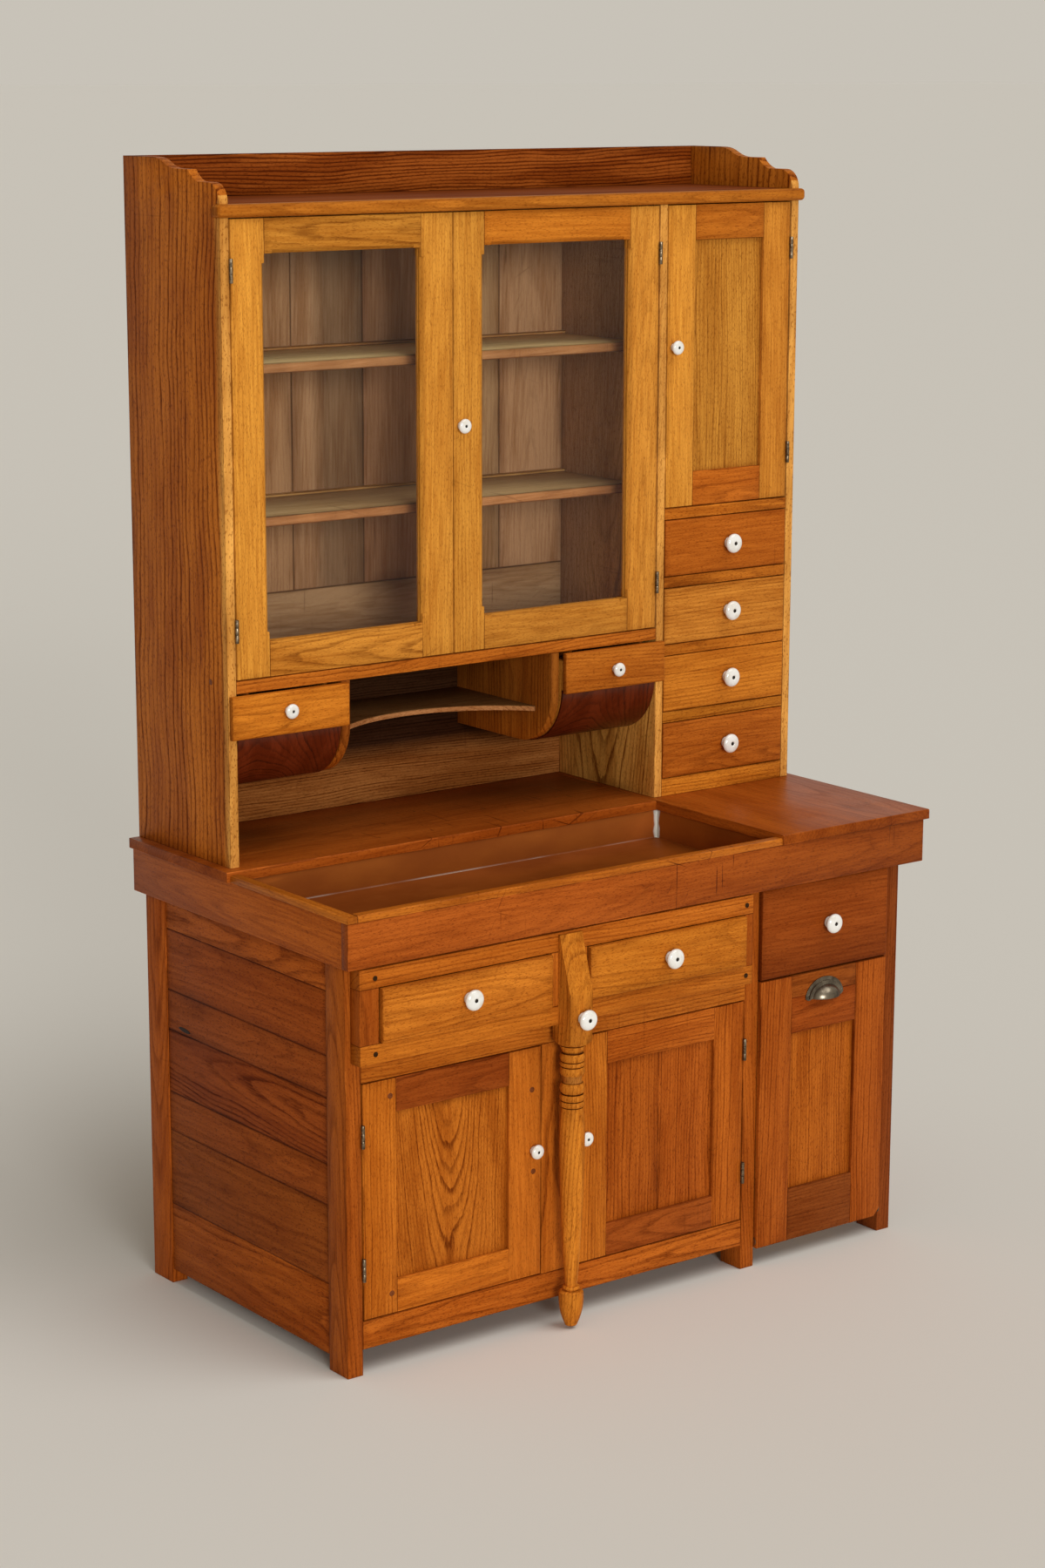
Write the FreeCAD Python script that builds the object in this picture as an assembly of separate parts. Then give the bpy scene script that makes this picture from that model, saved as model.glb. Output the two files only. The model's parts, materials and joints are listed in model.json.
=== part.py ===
"""Dry sink hutch: an oak kitchen cupboard in two stages.

The base stands on six posts. It carries a boxed sink with a sheet-metal liner, a counter, a pull-out work
table with its own turned leg, a two-door cupboard, a deep drawer and a tilt-out flour bin. The hutch above
has a glazed cupboard, two hanging bins over an open niche and a column of small drawers below a narrow
door.

Frame: millimetres, X to the right, Y to the back, Z up, origin on the floor in the middle of the piece.
"""
import FreeCAD
import Part
import math
import os

# Sink box and counter
APRON_WIDTH = 1319.0
APRON_DEPTH = 696.0
APRON_BOTTOM = 738.0
APRON_HEIGHT = 81.0
APRON_BOARD = 19.0
TRAY_BOARD = 18.0
TRAY_RISE = 8.0
WELL_WALL = 18.0
WELL_SETBACK = 4.0
LINER_SHEET = 1.2
RIM_THICKNESS = 13.0
RIM_WIDTH = 21.5
RIM_LAP = 1.5
RIM_ROUND = 4.0
COUNTER_THICKNESS = 18.5
COUNTER_LAP_LEFT = 8.0
COUNTER_LAP_RIGHT = 12.0
COUNTER_LAP_FRONT = 3.0
COUNTER_STRIP_DEPTH = 334.0
COUNTER_END_WIDTH = 357.0
COUNTER_ROUND = 3.0

# Base carcass
POST_WIDTH = 32.0
POST_DEPTH = 57.0
BACK_POST_DEPTH = 66.0
POST_INSET_LEFT = 13.0
POST_INSET_RIGHT = 32.5
POST_INSET_FRONT = 31.0
POST_INSET_BACK = 20.0
BAY_WIDTH = 318.0
FRONT_RAIL = 20.0
FOOT_CLEARANCE = 47.0
BOTTOM_RAIL_HEIGHT = 51.0
DOOR_RAIL_HEIGHT = 37.0
MULLION_WIDTH = 76.0
MULLION_SHIFT = -4.75
END_BOARD = 15.0
END_REVEAL = 2.0
END_CLEARANCE = 27.0
END_BOTTOM_RAIL = 130.0
END_TOP_RAIL = 55.0
END_BOARD_HEIGHTS = (115.0, 75.0, 119.0, 74.0)
FLOOR_BOARD = 18.0
BACK_BOARD = 12.0
BACK_BOARD_COUNT = 5
DIVIDER_BOARD = 18.0
RUNNER_HEIGHT = 22.0
RUNNER_WIDTH = 26.0

# Work table that slides out of the base
TABLE_POST_GAP = 1.0
TABLE_FRAME_DEPTH = 28.0
TABLE_LIFT = 3.0
TABLE_DROP = 3.0
TABLE_HEIGHT = 168.0
TABLE_RAIL = 35.0
TABLE_LEFT_LAP = 21.0
TABLE_RIGHT_GAP = 8.0
TABLE_LEFT_STILE = 40.0
TABLE_RIGHT_STILE = 20.0
TABLE_MID_STILE = 80.0
TABLE_SIDE_GAP = 2.5
TABLE_BOARD = 15.0
TABLE_TOP_BOARD = 16.0
TABLE_BOX_DEPTH = 515.0
TABLE_DRAWER_DEPTH = 400.0
TABLE_DRAWER_PROUD = 10.0
TABLE_KNOB_OFFSET = (-2.5, 2.0)
LEG_SQUARE = 50.0
LEG_PROUD = 33.0
LEG_TOP_THICKNESS = 4.0
LEG_SLOPE_HEIGHT = 104.0
LEG_SQUARE_DROP = 36.0
LEG_TONGUE_HEIGHT = 20.0
LEG_TONGUE_BULGE = 0.16
LEG_FLOOR_GAP = 6.0
LEG_BEAD_RADIUS = 22.6
LEG_GROOVE_RADIUS = 18.6
LEG_NECK_RADIUS = 17.0
LEG_SHAFT_RADIUS = 20.0
LEG_BELLY_RADIUS = 23.2
LEG_ANKLE_RADIUS = 10.8
LEG_RING_RADIUS = 15.8
LEG_FOOT_RADIUS = 22.2
LEG_TOE_RADIUS = 10.4
LEG_GROOVE = 2.0
LEG_COLLAR = 12.0
LEG_UPPER_BEADS = (14.0, 7.5, 14.0)
LEG_LOWER_BEADS = (11.0, 9.5)
LEG_NECK = 13.0
LEG_SWELL = 21.0
LEG_SWELL_BULGE = 0.12
LEG_BELLY_DROP = 60.0
LEG_BELLY_BULGE = 0.02
LEG_SHAFT_BULGE = 0.009
LEG_FOOT_HEIGHT = 68.0
LEG_RING_HEIGHT = 7.0
LEG_SHOULDER = 3.0
LEG_FOOT_BULGE = 0.07
LEG_KNOB_RISE = 16.0
LEG_KNOB_SHIFT = 3.0

# Doors, drawers and their running gaps
DOOR_GAP = 2.0
DOOR_THICKNESS = 20.0
PANEL_THICKNESS = 8.0
PANEL_SETBACK = 7.0
PANEL_TONGUE = 6.0
PANE_THICKNESS = 3.0
BASE_STILE = 70.0
BASE_RAIL = 61.0
BASE_KNOB_RISES = (22.0, 23.5)
GLASS_STILE = 68.0
GLASS_TOP_RAIL = 60.0
GLASS_BOTTOM_RAIL = 63.0
GLASS_LEFT_SHARE = -4.0
GLASS_KNOB_RISE = 17.0
STOP_CHAMFER = 7.0
STOP_LENGTH = 16.0
SPICE_STILE = 66.0
SPICE_DOOR_RAIL = 65.0
SPICE_DOOR_KNOB_RISE = 19.5
DRAWER_GAP = 1.5
DRAWER_SEAT = 0.3
DRAWER_WALL = 11.0
DRAWER_BOTTOM = 7.0
DRAWER_FRONT = 18.0
DRAWER_CHAMFER = 2.5
BIG_DRAWER_PROUD = 9.0
BIG_DRAWER_HEIGHT = 172.0
BIG_DRAWER_DROP = 7.0
BIG_DRAWER_DEPTH = 480.0
BIG_KNOB_OFFSET = (6.0, 2.5)
SPICE_KNOB_SHIFT = 5.5
SPICE_DRAWER_PROUD = 3.0
SPICE_DRAWER_DEPTH = 262.0

# Flour bin that tilts out on two pivot pins
FLOUR_BIN_PROUD = 8.0
FLOUR_BIN_THICKNESS = 22.0
FLOUR_BIN_BOTTOM = 36.0
FLOUR_BIN_GAP = 3.0
FLOUR_STILE = 76.0
FLOUR_TOP_RAIL = 112.0
FLOUR_RAIL_SEAM = 42.0
FLOUR_BOTTOM_RAIL = 102.0
FLOUR_BIN_DEPTH = 290.0
FLOUR_BOX_INSET = 10.0
FLOUR_CORNER_CLIP = 14.0
PIVOT_RADIUS = 4.0
PIVOT_CLEARANCE = 0.05
PIVOT_RISE = 12.0
PIVOT_REACH = 18.0
PIVOT_PLATE = 1.5
PIVOT_PLATE_RADIUS = 9.0
CUP_HALF_WIDTH = 34.0
CUP_DEPTH = 25.0
CUP_SHEET = 2.0
CUP_PLATE_HALF_WIDTH = 47.0
CUP_PLATE_HEIGHT = 38.0
CUP_RIDGE_HALF_WIDTH = 40.0
CUP_RIDGE_HEIGHT = 31.0
CUP_RIDGE_DEPTH = 6.0
CUP_EAR_RADIUS = 8.5
CUP_EAR_RISE = 5.0
CUP_DROP = 51.0

# Hutch carcass
HUTCH_DEPTH = 312.0
HUTCH_INSET_LEFT = 14.0
HUTCH_INSET_RIGHT = 5.0
SIDE_BOARD = 18.0
SPICE_WIDTH = 305.0
NICHE_HEIGHT = 308.5
WAIST_BOARD = 22.0
CUPBOARD_HEIGHT = 793.0
TOP_BOARD = 22.5
GALLERY_RISE = 73.5
NOSING_PROUD = 12.0
NOSING_LAP = 10.0
NOSING_HORN = 8.0
NOSING_ROUND = 7.5
HUTCH_BACK_BOARD = 14.0
HUTCH_BACK_COUNT = 8
BACK_KICK_BOARD = 93.0
SCROLL_OGEE_RUN = 75.0
SCROLL_OGEE_DROP = 18.0
SCROLL_STEP = 40.0
SCROLL_COVE_RUN = 32.0
SCROLL_COVE_DROP = 20.0
SCROLL_COVE_BULGE = 0.08
SCROLL_LOW_STEP = 33.0
SCROLL_STUB = 1.5
SHELF_BOARD = 18.0
SHELF_DEPTH = 227.0
SHELF_HEIGHTS = (253.0, 520.0)
PLATE_STRIP_DEPTH = 14.0
PLATE_STRIP_HEIGHT = 6.0
SPICE_BASE_RAIL = 34.0
SPICE_RAIL = 21.0
SPICE_OPENING = 109.5
SPICE_COUNT = 4
SPICE_RUNNER_WIDTH = 15.0

# Hanging bins and the niche between them
BRACKET_BOARD = 18.0
BRACKET_HEIGHT = 179.0
BRACKET_ROUND = 100.0
LEFT_BIN_WIDTH = 220.0
RIGHT_BIN_WIDTH = 233.0
BIN_FRONT = 12.0
BIN_FRONT_HEIGHT = 77.0
BIN_FRONT_DROP = 3.0
BIN_LEFT_LAPS = (15.0, 10.0)
BIN_RIGHT_LAPS = (-9.0, 14.0)
BIN_KNOB_OFFSETS = ((-8.0, 4.0), (-2.5, -1.5))
BIN_WALL = 10.0
BIN_SHEET = 3.5
BIN_ROUND = 110.0
BIN_HEIGHT = 181.0
BIN_DEPTH = 270.0
BIN_SIDE_GAP = 2.0
BIN_SIDE_DROP = 14.0
BIN_LIP = 10.0
BIN_BACK_DROP = 30.0
HANGER_WEB = 8.0
NICHE_SHELF = 10.0
NICHE_SHELF_DROP = 107.0
NICHE_SHELF_SETBACK = 48.0
NICHE_SHELF_BOW = 106.0

# Hardware
LARGE_KNOB = (37.0, 23.0)
SMALL_KNOB = (26.5, 17.5)
KNOB_FOOT = (0.57, 0.12)
KNOB_NECK = (0.48, 0.34)
KNOB_RIM = 0.70
KNOB_CROWN = (0.80, 0.93)
KNOB_BULGE = 0.12
KNOB_EDGE = 16.0
SCREW_RADIUS = 4.5
SCREW_PROUD = 1.2
SCREW_SLOT = 1.2
SCREW_INSET = 32.0
HINGE_LENGTH = 41.0
HINGE_GAP = 2.6
HINGE_LEAF = 1.0
HINGE_LEAF_WIDTH = 16.0
HINGE_BARREL = 3.4
HINGE_PIN = 1.7
HINGE_CLEARANCE = 0.05
HINGE_STANDOFF = 3.7
HINGE_KNUCKLE_GAP = 0.4
HINGE_INSET = 66.0
BASE_HINGE_INSET = 72.0

QUARTER_BULGE = (math.sqrt(2.0) - 1.0) / 2.0

# Stations across the piece
overall_width = APRON_WIDTH + COUNTER_LAP_LEFT + COUNTER_LAP_RIGHT
apron_left = COUNTER_LAP_LEFT - overall_width / 2
apron_right = apron_left + APRON_WIDTH
post_left = apron_left + POST_INSET_LEFT
bay_left = post_left + POST_WIDTH
post_right = apron_right - POST_INSET_RIGHT
drawer_bay_right = post_right - POST_WIDTH
drawer_bay_left = drawer_bay_right - BAY_WIDTH
bay_right = drawer_bay_left - POST_WIDTH
mullion_mid = (bay_left + bay_right) / 2 + MULLION_SHIFT
end_left_inner = post_left + END_REVEAL + END_BOARD
end_right_inner = post_right - END_REVEAL - END_BOARD
divider_mid = (bay_right + drawer_bay_left) / 2
counter_end_left = apron_right - COUNTER_END_WIDTH
well_right = counter_end_left + WELL_SETBACK
hutch_left = apron_left + HUTCH_INSET_LEFT
hutch_right = apron_right - HUTCH_INSET_RIGHT
cupboard_left = hutch_left + SIDE_BOARD
spice_right = hutch_right - SIDE_BOARD
spice_left = spice_right - SPICE_WIDTH
cupboard_right = spice_left - SIDE_BOARD
left_bracket = cupboard_left + LEFT_BIN_WIDTH
right_bracket = cupboard_right - RIGHT_BIN_WIDTH - BRACKET_BOARD
table_left = bay_left - TABLE_LEFT_LAP
table_right = bay_right - TABLE_RIGHT_GAP

# Stations from front to back
overall_depth = APRON_DEPTH + LEG_PROUD + LARGE_KNOB[1]
leg_front = LARGE_KNOB[1] - overall_depth / 2
apron_front = leg_front + LEG_PROUD
back = apron_front + APRON_DEPTH
post_front = apron_front + POST_INSET_FRONT
post_rear = post_front + POST_DEPTH
back_post_rear = back - POST_INSET_BACK
back_post_front = back_post_rear - BACK_POST_DEPTH
base_back = back_post_rear - BACK_BOARD
strip_front = back - COUNTER_STRIP_DEPTH
well_back = strip_front + WELL_SETBACK
hutch_front = back - HUTCH_DEPTH
hutch_inner_back = back - HUTCH_BACK_BOARD
table_frame_rear = post_front - TABLE_POST_GAP
table_front = table_frame_rear - TABLE_FRAME_DEPTH
table_rear = table_frame_rear + TABLE_BOX_DEPTH
leg_axis_y = leg_front + LEG_SQUARE / 2

# Stations upwards
apron_top = APRON_BOTTOM + APRON_HEIGHT
tray_top = APRON_BOTTOM + TRAY_RISE + TRAY_BOARD
counter_top = apron_top + COUNTER_THICKNESS
bottom_rail_top = FOOT_CLEARANCE + BOTTOM_RAIL_HEIGHT
table_top = APRON_BOTTOM - TABLE_DROP
table_bottom = table_top - TABLE_HEIGHT
door_rail_top = table_bottom - TABLE_LIFT
door_rail_bottom = door_rail_top - DOOR_RAIL_HEIGHT
leg_square_bottom = table_bottom - LEG_SQUARE_DROP
table_opening_bottom = table_bottom + TABLE_RAIL
table_opening_top = table_top - TABLE_RAIL
big_drawer_top = APRON_BOTTOM - BIG_DRAWER_DROP
big_drawer_bottom = big_drawer_top - BIG_DRAWER_HEIGHT
flour_bin_top = big_drawer_bottom - FLOUR_BIN_GAP
pivot_z = FLOUR_BIN_BOTTOM + PIVOT_RISE
pivot_y = post_front - FLOUR_BIN_PROUD + FLOUR_BIN_THICKNESS / 2
waist_bottom = counter_top + NICHE_HEIGHT
waist_top = waist_bottom + WAIST_BOARD
top_board_bottom = waist_top + CUPBOARD_HEIGHT
top_board_top = top_board_bottom + TOP_BOARD
gallery_top = top_board_top + GALLERY_RISE
spice_pitch = SPICE_OPENING + SPICE_RAIL
spice_floor_bottom = counter_top + SPICE_BASE_RAIL + SPICE_COUNT * spice_pitch - SPICE_RAIL
spice_floor_top = spice_floor_bottom + SPICE_RAIL
bin_front_top = waist_bottom - BIN_FRONT_DROP
bin_front_bottom = bin_front_top - BIN_FRONT_HEIGHT
bin_bottom = bin_front_top - BIN_HEIGHT


def board(x0, x1, y0, y1, z0, z1):
    """Returns a squared board between two opposite corners."""
    return Part.makeBox(x1 - x0, y1 - y0, z1 - z0, FreeCAD.Vector(x0, y0, z0))


def outline(path, place, curve=Part.Arc):
    """Returns the face inside a closed path.

    Each point is (a, b), reached by a straight edge, or (a, b, bulge), reached by an arc that stands off
    its chord by bulge times the chord, to the left of travel. place turns (a, b) into a point in space,
    and curve makes the arc through three points.
    """
    edges = []
    for start, end in zip(path, path[1:] + path[:1]):
        first = place(start[0], start[1])
        last = place(end[0], end[1])
        bulge = end[2] if len(end) > 2 else 0.0
        if bulge:
            across = end[0] - start[0]
            along = end[1] - start[1]
            middle = place((start[0] + end[0]) / 2 - along * bulge,
                           (start[1] + end[1]) / 2 + across * bulge)
            edges.append(curve(first, middle, last).toShape())
        else:
            edges.append(Part.LineSegment(first, last).toShape())
    return Part.Face(Part.Wire(edges))


def ogee(start, end):
    """Returns the path points of an ogee down to the front, level where it leaves start and reaches end."""
    steepness = math.atan2(start[1] - end[1], start[0] - end[0])
    bulge = math.tan(steepness / 2) / 2
    return [((start[0] + end[0]) / 2, (start[1] + end[1]) / 2, -bulge), (end[0], end[1], bulge)]


def side_profile(path, x0, x1):
    """Returns a board cut to a (y, z) outline, from x0 to x1."""
    face = outline(path, lambda y, z: FreeCAD.Vector(x0, y, z))
    return face.extrude(FreeCAD.Vector(x1 - x0, 0, 0))


def spline_arc(first, middle, last):
    """Returns the arc through three points as a spline, the profile of a turned moulding."""
    return Part.Arc(first, middle, last).toBSpline()


def turned(path, x, y):
    """Returns a piece turned about the upright line through (x, y) from a (radius, z) outline."""
    face = outline(path, lambda radius, z: FreeCAD.Vector(x + radius, y, z), spline_arc)
    return face.revolve(FreeCAD.Vector(x, y, 0), FreeCAD.Vector(0, 0, 1), 360)


def soften(solid, radius, keep):
    """Returns the solid with the edges that keep(edge box) picks rounded to the radius."""
    edges = [edge for edge in solid.Edges if keep(edge.BoundBox)]
    return solid.makeFillet(radius, edges)


def save(name, solids):
    """Writes one node's solids to its STEP file."""
    shape = solids[0] if len(solids) == 1 else Part.makeCompound(solids)
    shape.exportStep("parts/" + name + ".step")


def knob(size, x, y, z):
    """Returns a porcelain knob of (diameter, length) that stands out of the face at y to the front."""
    head = size[0] / 2
    length = size[1]
    path = [
        (0.0, 0.0), (KNOB_FOOT[0] * head, 0.0), (KNOB_FOOT[0] * head, KNOB_FOOT[1] * length),
        (KNOB_NECK[0] * head, KNOB_NECK[1] * length, KNOB_BULGE),
        (head, KNOB_RIM * length, KNOB_BULGE), (KNOB_CROWN[0] * head, KNOB_CROWN[1] * length, -KNOB_BULGE),
        (0.0, length),
    ]
    face = outline(path, lambda radius, out: FreeCAD.Vector(x + radius, y - out, z), spline_arc)
    return face.revolve(FreeCAD.Vector(x, y, z), FreeCAD.Vector(0, 1, 0), 360)


def hinge(frame_x, door_way, face_y, z0):
    """Returns the fixed and the moving leaf of a butt hinge.

    frame_x is the face that carries the fixed leaf, door_way is 1 where the door lies to its right and -1
    where it lies to its left, face_y is the door's front and z0 the hinge's lower end.
    """
    axis_x = frame_x + door_way * HINGE_GAP / 2
    axis_y = face_y - HINGE_STANDOFF
    knuckle = HINGE_LENGTH / 3
    leaf_y = axis_y + HINGE_BARREL + HINGE_KNUCKLE_GAP
    up = FreeCAD.Vector(0, 0, 1)

    def leaf(outer, y0, y1, low, high):
        inner = outer + HINGE_LEAF if outer < axis_x else outer - HINGE_LEAF
        return board(min(outer, inner), max(outer, inner), y0, y1, low, high)

    def rod(radius, low, high):
        return Part.makeCylinder(radius, high - low, FreeCAD.Vector(axis_x, axis_y, low), up)

    rear = face_y + HINGE_LEAF_WIDTH
    upper = z0 + 2 * knuckle
    top = z0 + HINGE_LENGTH
    fixed = leaf(frame_x, leaf_y, rear, z0, top)
    for low, high in ((z0, z0 + knuckle), (upper, top)):
        fixed = fixed.fuse(leaf(frame_x, axis_y, leaf_y, low, high)).fuse(rod(HINGE_BARREL, low, high))
    fixed = fixed.fuse(rod(HINGE_PIN, z0, top)).removeSplitter()

    door_x = frame_x + door_way * HINGE_GAP
    low = z0 + knuckle + HINGE_KNUCKLE_GAP
    high = upper - HINGE_KNUCKLE_GAP
    moving = leaf(door_x, leaf_y, rear, z0, top).fuse(leaf(door_x, axis_y, leaf_y, low, high))
    moving = moving.fuse(rod(HINGE_BARREL, low, high)).cut(rod(HINGE_PIN + HINGE_CLEARANCE, z0, top))
    return fixed, moving.removeSplitter()


def hinge_pair(frame_x, door_way, face_y, door_bottom, door_top, inset):
    """Returns the fixed and moving leaves of a door's two hinges, each inset from the door's end."""
    lows = (door_bottom + inset, door_top - inset - HINGE_LENGTH)
    pairs = [hinge(frame_x, door_way, face_y, low) for low in lows]
    return [pair[0] for pair in pairs], [pair[1] for pair in pairs]


def framed(x0, x1, face_y, z0, z1, thickness, stiles, rails, filling, setback, filling_count=1):
    """Returns the stiles, rails and filling of a framed panel, the filling's edges held in grooves.

    stiles is (left, right) widths, rails is (bottom, top) heights, filling is the panel's or pane's
    thickness, setback is how far it lies behind the front, and filling_count how many boards it is glued
    up from.
    """
    rear = face_y + thickness
    left = x0 + stiles[0]
    right = x1 - stiles[1]
    low = z0 + rails[0]
    high = z1 - rails[1]
    groove = board(left - PANEL_TONGUE, right + PANEL_TONGUE, face_y + setback, face_y + setback + filling,
                   low - PANEL_TONGUE, high + PANEL_TONGUE)
    members = [
        board(x0, left, face_y, rear, z0, z1), board(right, x1, face_y, rear, z0, z1),
        board(left, right, face_y, rear, z0, low), board(left, right, face_y, rear, high, z1),
    ]
    members = [member.cut(groove) for member in members]
    step = (right - left + 2 * PANEL_TONGUE) / filling_count
    fillings = []
    for index in range(filling_count):
        start = left - PANEL_TONGUE + index * step
        fillings.append(board(start, start + step, face_y + setback, face_y + setback + filling,
                              low - PANEL_TONGUE, high + PANEL_TONGUE))
    return members, fillings


def stop_chamfer(members, left, right, low, high, face_y):
    """Returns frame members with the opening's front edges chamfered, stopped short of the corners."""
    size = STOP_CHAMFER

    def cutter(path, direction, start, length):
        face = outline(path, start)
        return face.extrude(direction.multiply(length))

    cuts = []
    for edge, way in ((left, -1), (right, 1)):
        path = [(edge, face_y), (edge + way * size, face_y), (edge, face_y + size)]
        cuts.append(cutter(path, FreeCAD.Vector(0, 0, 1),
                           lambda x, y: FreeCAD.Vector(x, y, low + STOP_LENGTH),
                           high - low - 2 * STOP_LENGTH))
    for edge, way in ((low, -1), (high, 1)):
        path = [(edge, face_y), (edge + way * size, face_y), (edge, face_y + size)]
        cuts.append(cutter(path, FreeCAD.Vector(1, 0, 0),
                           lambda z, y: FreeCAD.Vector(left + STOP_LENGTH, y, z),
                           right - left - 2 * STOP_LENGTH))
    return [member.cut(Part.makeCompound(cuts)) for member in members]


def drawer(front, box, wall, bottom, chamfer):
    """Returns a drawer's front, sides, back and bottom.

    front and box are (x0, x1, y0, y1, z0, z1). The box starts where the front ends.
    """
    x0, x1, y0, y1, z0, z1 = box
    face = board(*front)
    picked = [edge for edge in face.Edges if edge.BoundBox.YMax < front[2] + DRAWER_SEAT]
    face = face.makeChamfer(chamfer, picked)
    return [
        face,
        board(x0, x0 + wall, y0, y1, z0, z1), board(x1 - wall, x1, y0, y1, z0, z1),
        board(x0 + wall, x1 - wall, y1 - wall, y1, z0 + bottom, z1),
        board(x0 + wall, x1 - wall, y0, y1, z0, z0 + bottom),
    ]


def build_posts_and_ends():
    """Makes the six posts, the boarded ends, the front rails and the boards inside the base."""
    posts = []
    for x0 in (post_left, bay_right, drawer_bay_right):
        posts.append(board(x0, x0 + POST_WIDTH, post_front, post_rear, 0, APRON_BOTTOM))
        posts.append(board(x0, x0 + POST_WIDTH, back_post_front, back_post_rear, 0, APRON_BOTTOM))
    save("base_posts", posts)

    ends = []
    for x0 in (post_left + END_REVEAL, end_right_inner):
        x1 = x0 + END_BOARD
        rail_top = END_CLEARANCE + END_BOTTOM_RAIL
        ends.append(board(x0, x1, post_rear, back_post_front, END_CLEARANCE, rail_top))
        high = APRON_BOTTOM
        for height in (END_TOP_RAIL,) + END_BOARD_HEIGHTS:
            ends.append(board(x0, x1, post_rear, back_post_front, high - height, high))
            high -= height
        ends.append(board(x0, x1, post_rear, back_post_front, rail_top, high))
    save("end_panels", ends)

    rail_rear = post_front + FRONT_RAIL
    mullion_left = mullion_mid - MULLION_WIDTH / 2
    runner_top = big_drawer_bottom + DRAWER_GAP - DRAWER_SEAT
    bay_rail_front = post_front - FLOUR_BIN_PROUD + FLOUR_BIN_THICKNESS + FLOUR_BIN_GAP
    save("base_front_rails", [
        board(bay_left, bay_right, post_front, rail_rear, FOOT_CLEARANCE, bottom_rail_top),
        board(bay_left, bay_right, post_front, rail_rear, door_rail_bottom, door_rail_top),
        board(mullion_left, mullion_left + MULLION_WIDTH, post_front, rail_rear, bottom_rail_top,
              door_rail_bottom),
        board(drawer_bay_left, drawer_bay_right, bay_rail_front, post_rear, runner_top - RUNNER_HEIGHT,
              runner_top),
    ])

    boards = []
    step = (APRON_BOTTOM - FOOT_CLEARANCE) / BACK_BOARD_COUNT
    for index in range(BACK_BOARD_COUNT):
        low = FOOT_CLEARANCE + index * step
        for x0, x1 in ((bay_left, bay_right), (drawer_bay_left, drawer_bay_right)):
            boards.append(board(x0, x1, base_back, back_post_rear, low, low + step))
    save("base_back_boards", boards)

    divider_left = divider_mid - DIVIDER_BOARD / 2
    save("base_inner_boards", [
        board(end_left_inner, divider_left, rail_rear, base_back, bottom_rail_top - FLOOR_BOARD,
              bottom_rail_top).cut(Part.makeCompound(posts)),
        board(divider_left, divider_left + DIVIDER_BOARD, post_rear, back_post_front, FOOT_CLEARANCE,
              APRON_BOTTOM),
    ])

    table_seat = table_bottom - DRAWER_SEAT
    save("base_runners", [
        board(end_left_inner, bay_left + RUNNER_WIDTH, post_rear, back_post_front,
              table_seat - RUNNER_HEIGHT, table_seat),
        board(bay_right - RUNNER_WIDTH, divider_left, post_rear, back_post_front,
              table_seat - RUNNER_HEIGHT, table_seat),
        board(divider_left + DIVIDER_BOARD, drawer_bay_left + RUNNER_WIDTH, post_rear, back_post_front,
              runner_top - RUNNER_HEIGHT, runner_top),
        board(drawer_bay_right - RUNNER_WIDTH, end_right_inner, post_rear, back_post_front,
              runner_top - RUNNER_HEIGHT, runner_top),
    ])


def build_sink():
    """Makes the sink box, its liner, the rim and the counter boards."""
    inner_left = apron_left + APRON_BOARD
    inner_right = apron_right - APRON_BOARD
    inner_front = apron_front + APRON_BOARD
    inner_back = back - APRON_BOARD
    save("sink_box", [
        board(apron_left, apron_right, apron_front, inner_front, APRON_BOTTOM, apron_top),
        board(apron_left, inner_left, inner_front, back, APRON_BOTTOM, apron_top),
        board(inner_right, apron_right, inner_front, back, APRON_BOTTOM, apron_top),
        board(inner_left, inner_right, inner_back, back, APRON_BOTTOM, apron_top),
        board(inner_left, inner_right, inner_front, inner_back, tray_top - TRAY_BOARD, tray_top),
        board(inner_left, well_right, well_back, well_back + WELL_WALL, tray_top, apron_top),
        board(well_right, well_right + WELL_WALL, inner_front, inner_back, tray_top, apron_top),
    ])

    outer = board(inner_left, well_right, inner_front, well_back, tray_top, apron_top)
    inner = board(inner_left + LINER_SHEET, well_right - LINER_SHEET, inner_front + LINER_SHEET,
                  well_back - LINER_SHEET, tray_top + LINER_SHEET, apron_top)
    save("sink_liner", [outer.cut(inner)])

    rim_top = apron_top + RIM_THICKNESS
    rim_inner_left = apron_left - RIM_LAP + RIM_WIDTH
    front_y = apron_front - RIM_LAP
    left_rim = board(apron_left - RIM_LAP, rim_inner_left, front_y, strip_front, apron_top, rim_top)
    left_rim = soften(left_rim, RIM_ROUND,
                      lambda box: box.ZMin > rim_top - RIM_LAP and box.YLength > RIM_WIDTH)
    front_rim = board(rim_inner_left, counter_end_left, front_y, front_y + RIM_WIDTH, apron_top, rim_top)
    front_rim = soften(front_rim, RIM_ROUND,
                       lambda box: box.ZMin > rim_top - RIM_LAP and box.XLength > RIM_WIDTH)
    save("sink_rim", [left_rim, front_rim])

    strip = board(apron_left - COUNTER_LAP_LEFT, counter_end_left, strip_front, back, apron_top,
                  counter_top)
    end = board(counter_end_left, apron_right + COUNTER_LAP_RIGHT, apron_front - COUNTER_LAP_FRONT, back,
                apron_top, counter_top)
    strip = soften(strip, COUNTER_ROUND,
                   lambda box: box.ZMin > apron_top and box.YMax < strip_front + RIM_LAP)
    end = soften(end, COUNTER_ROUND, lambda box: box.ZMin > apron_top and box.YMax < apron_front)
    save("counter_boards", [strip, end])


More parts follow.
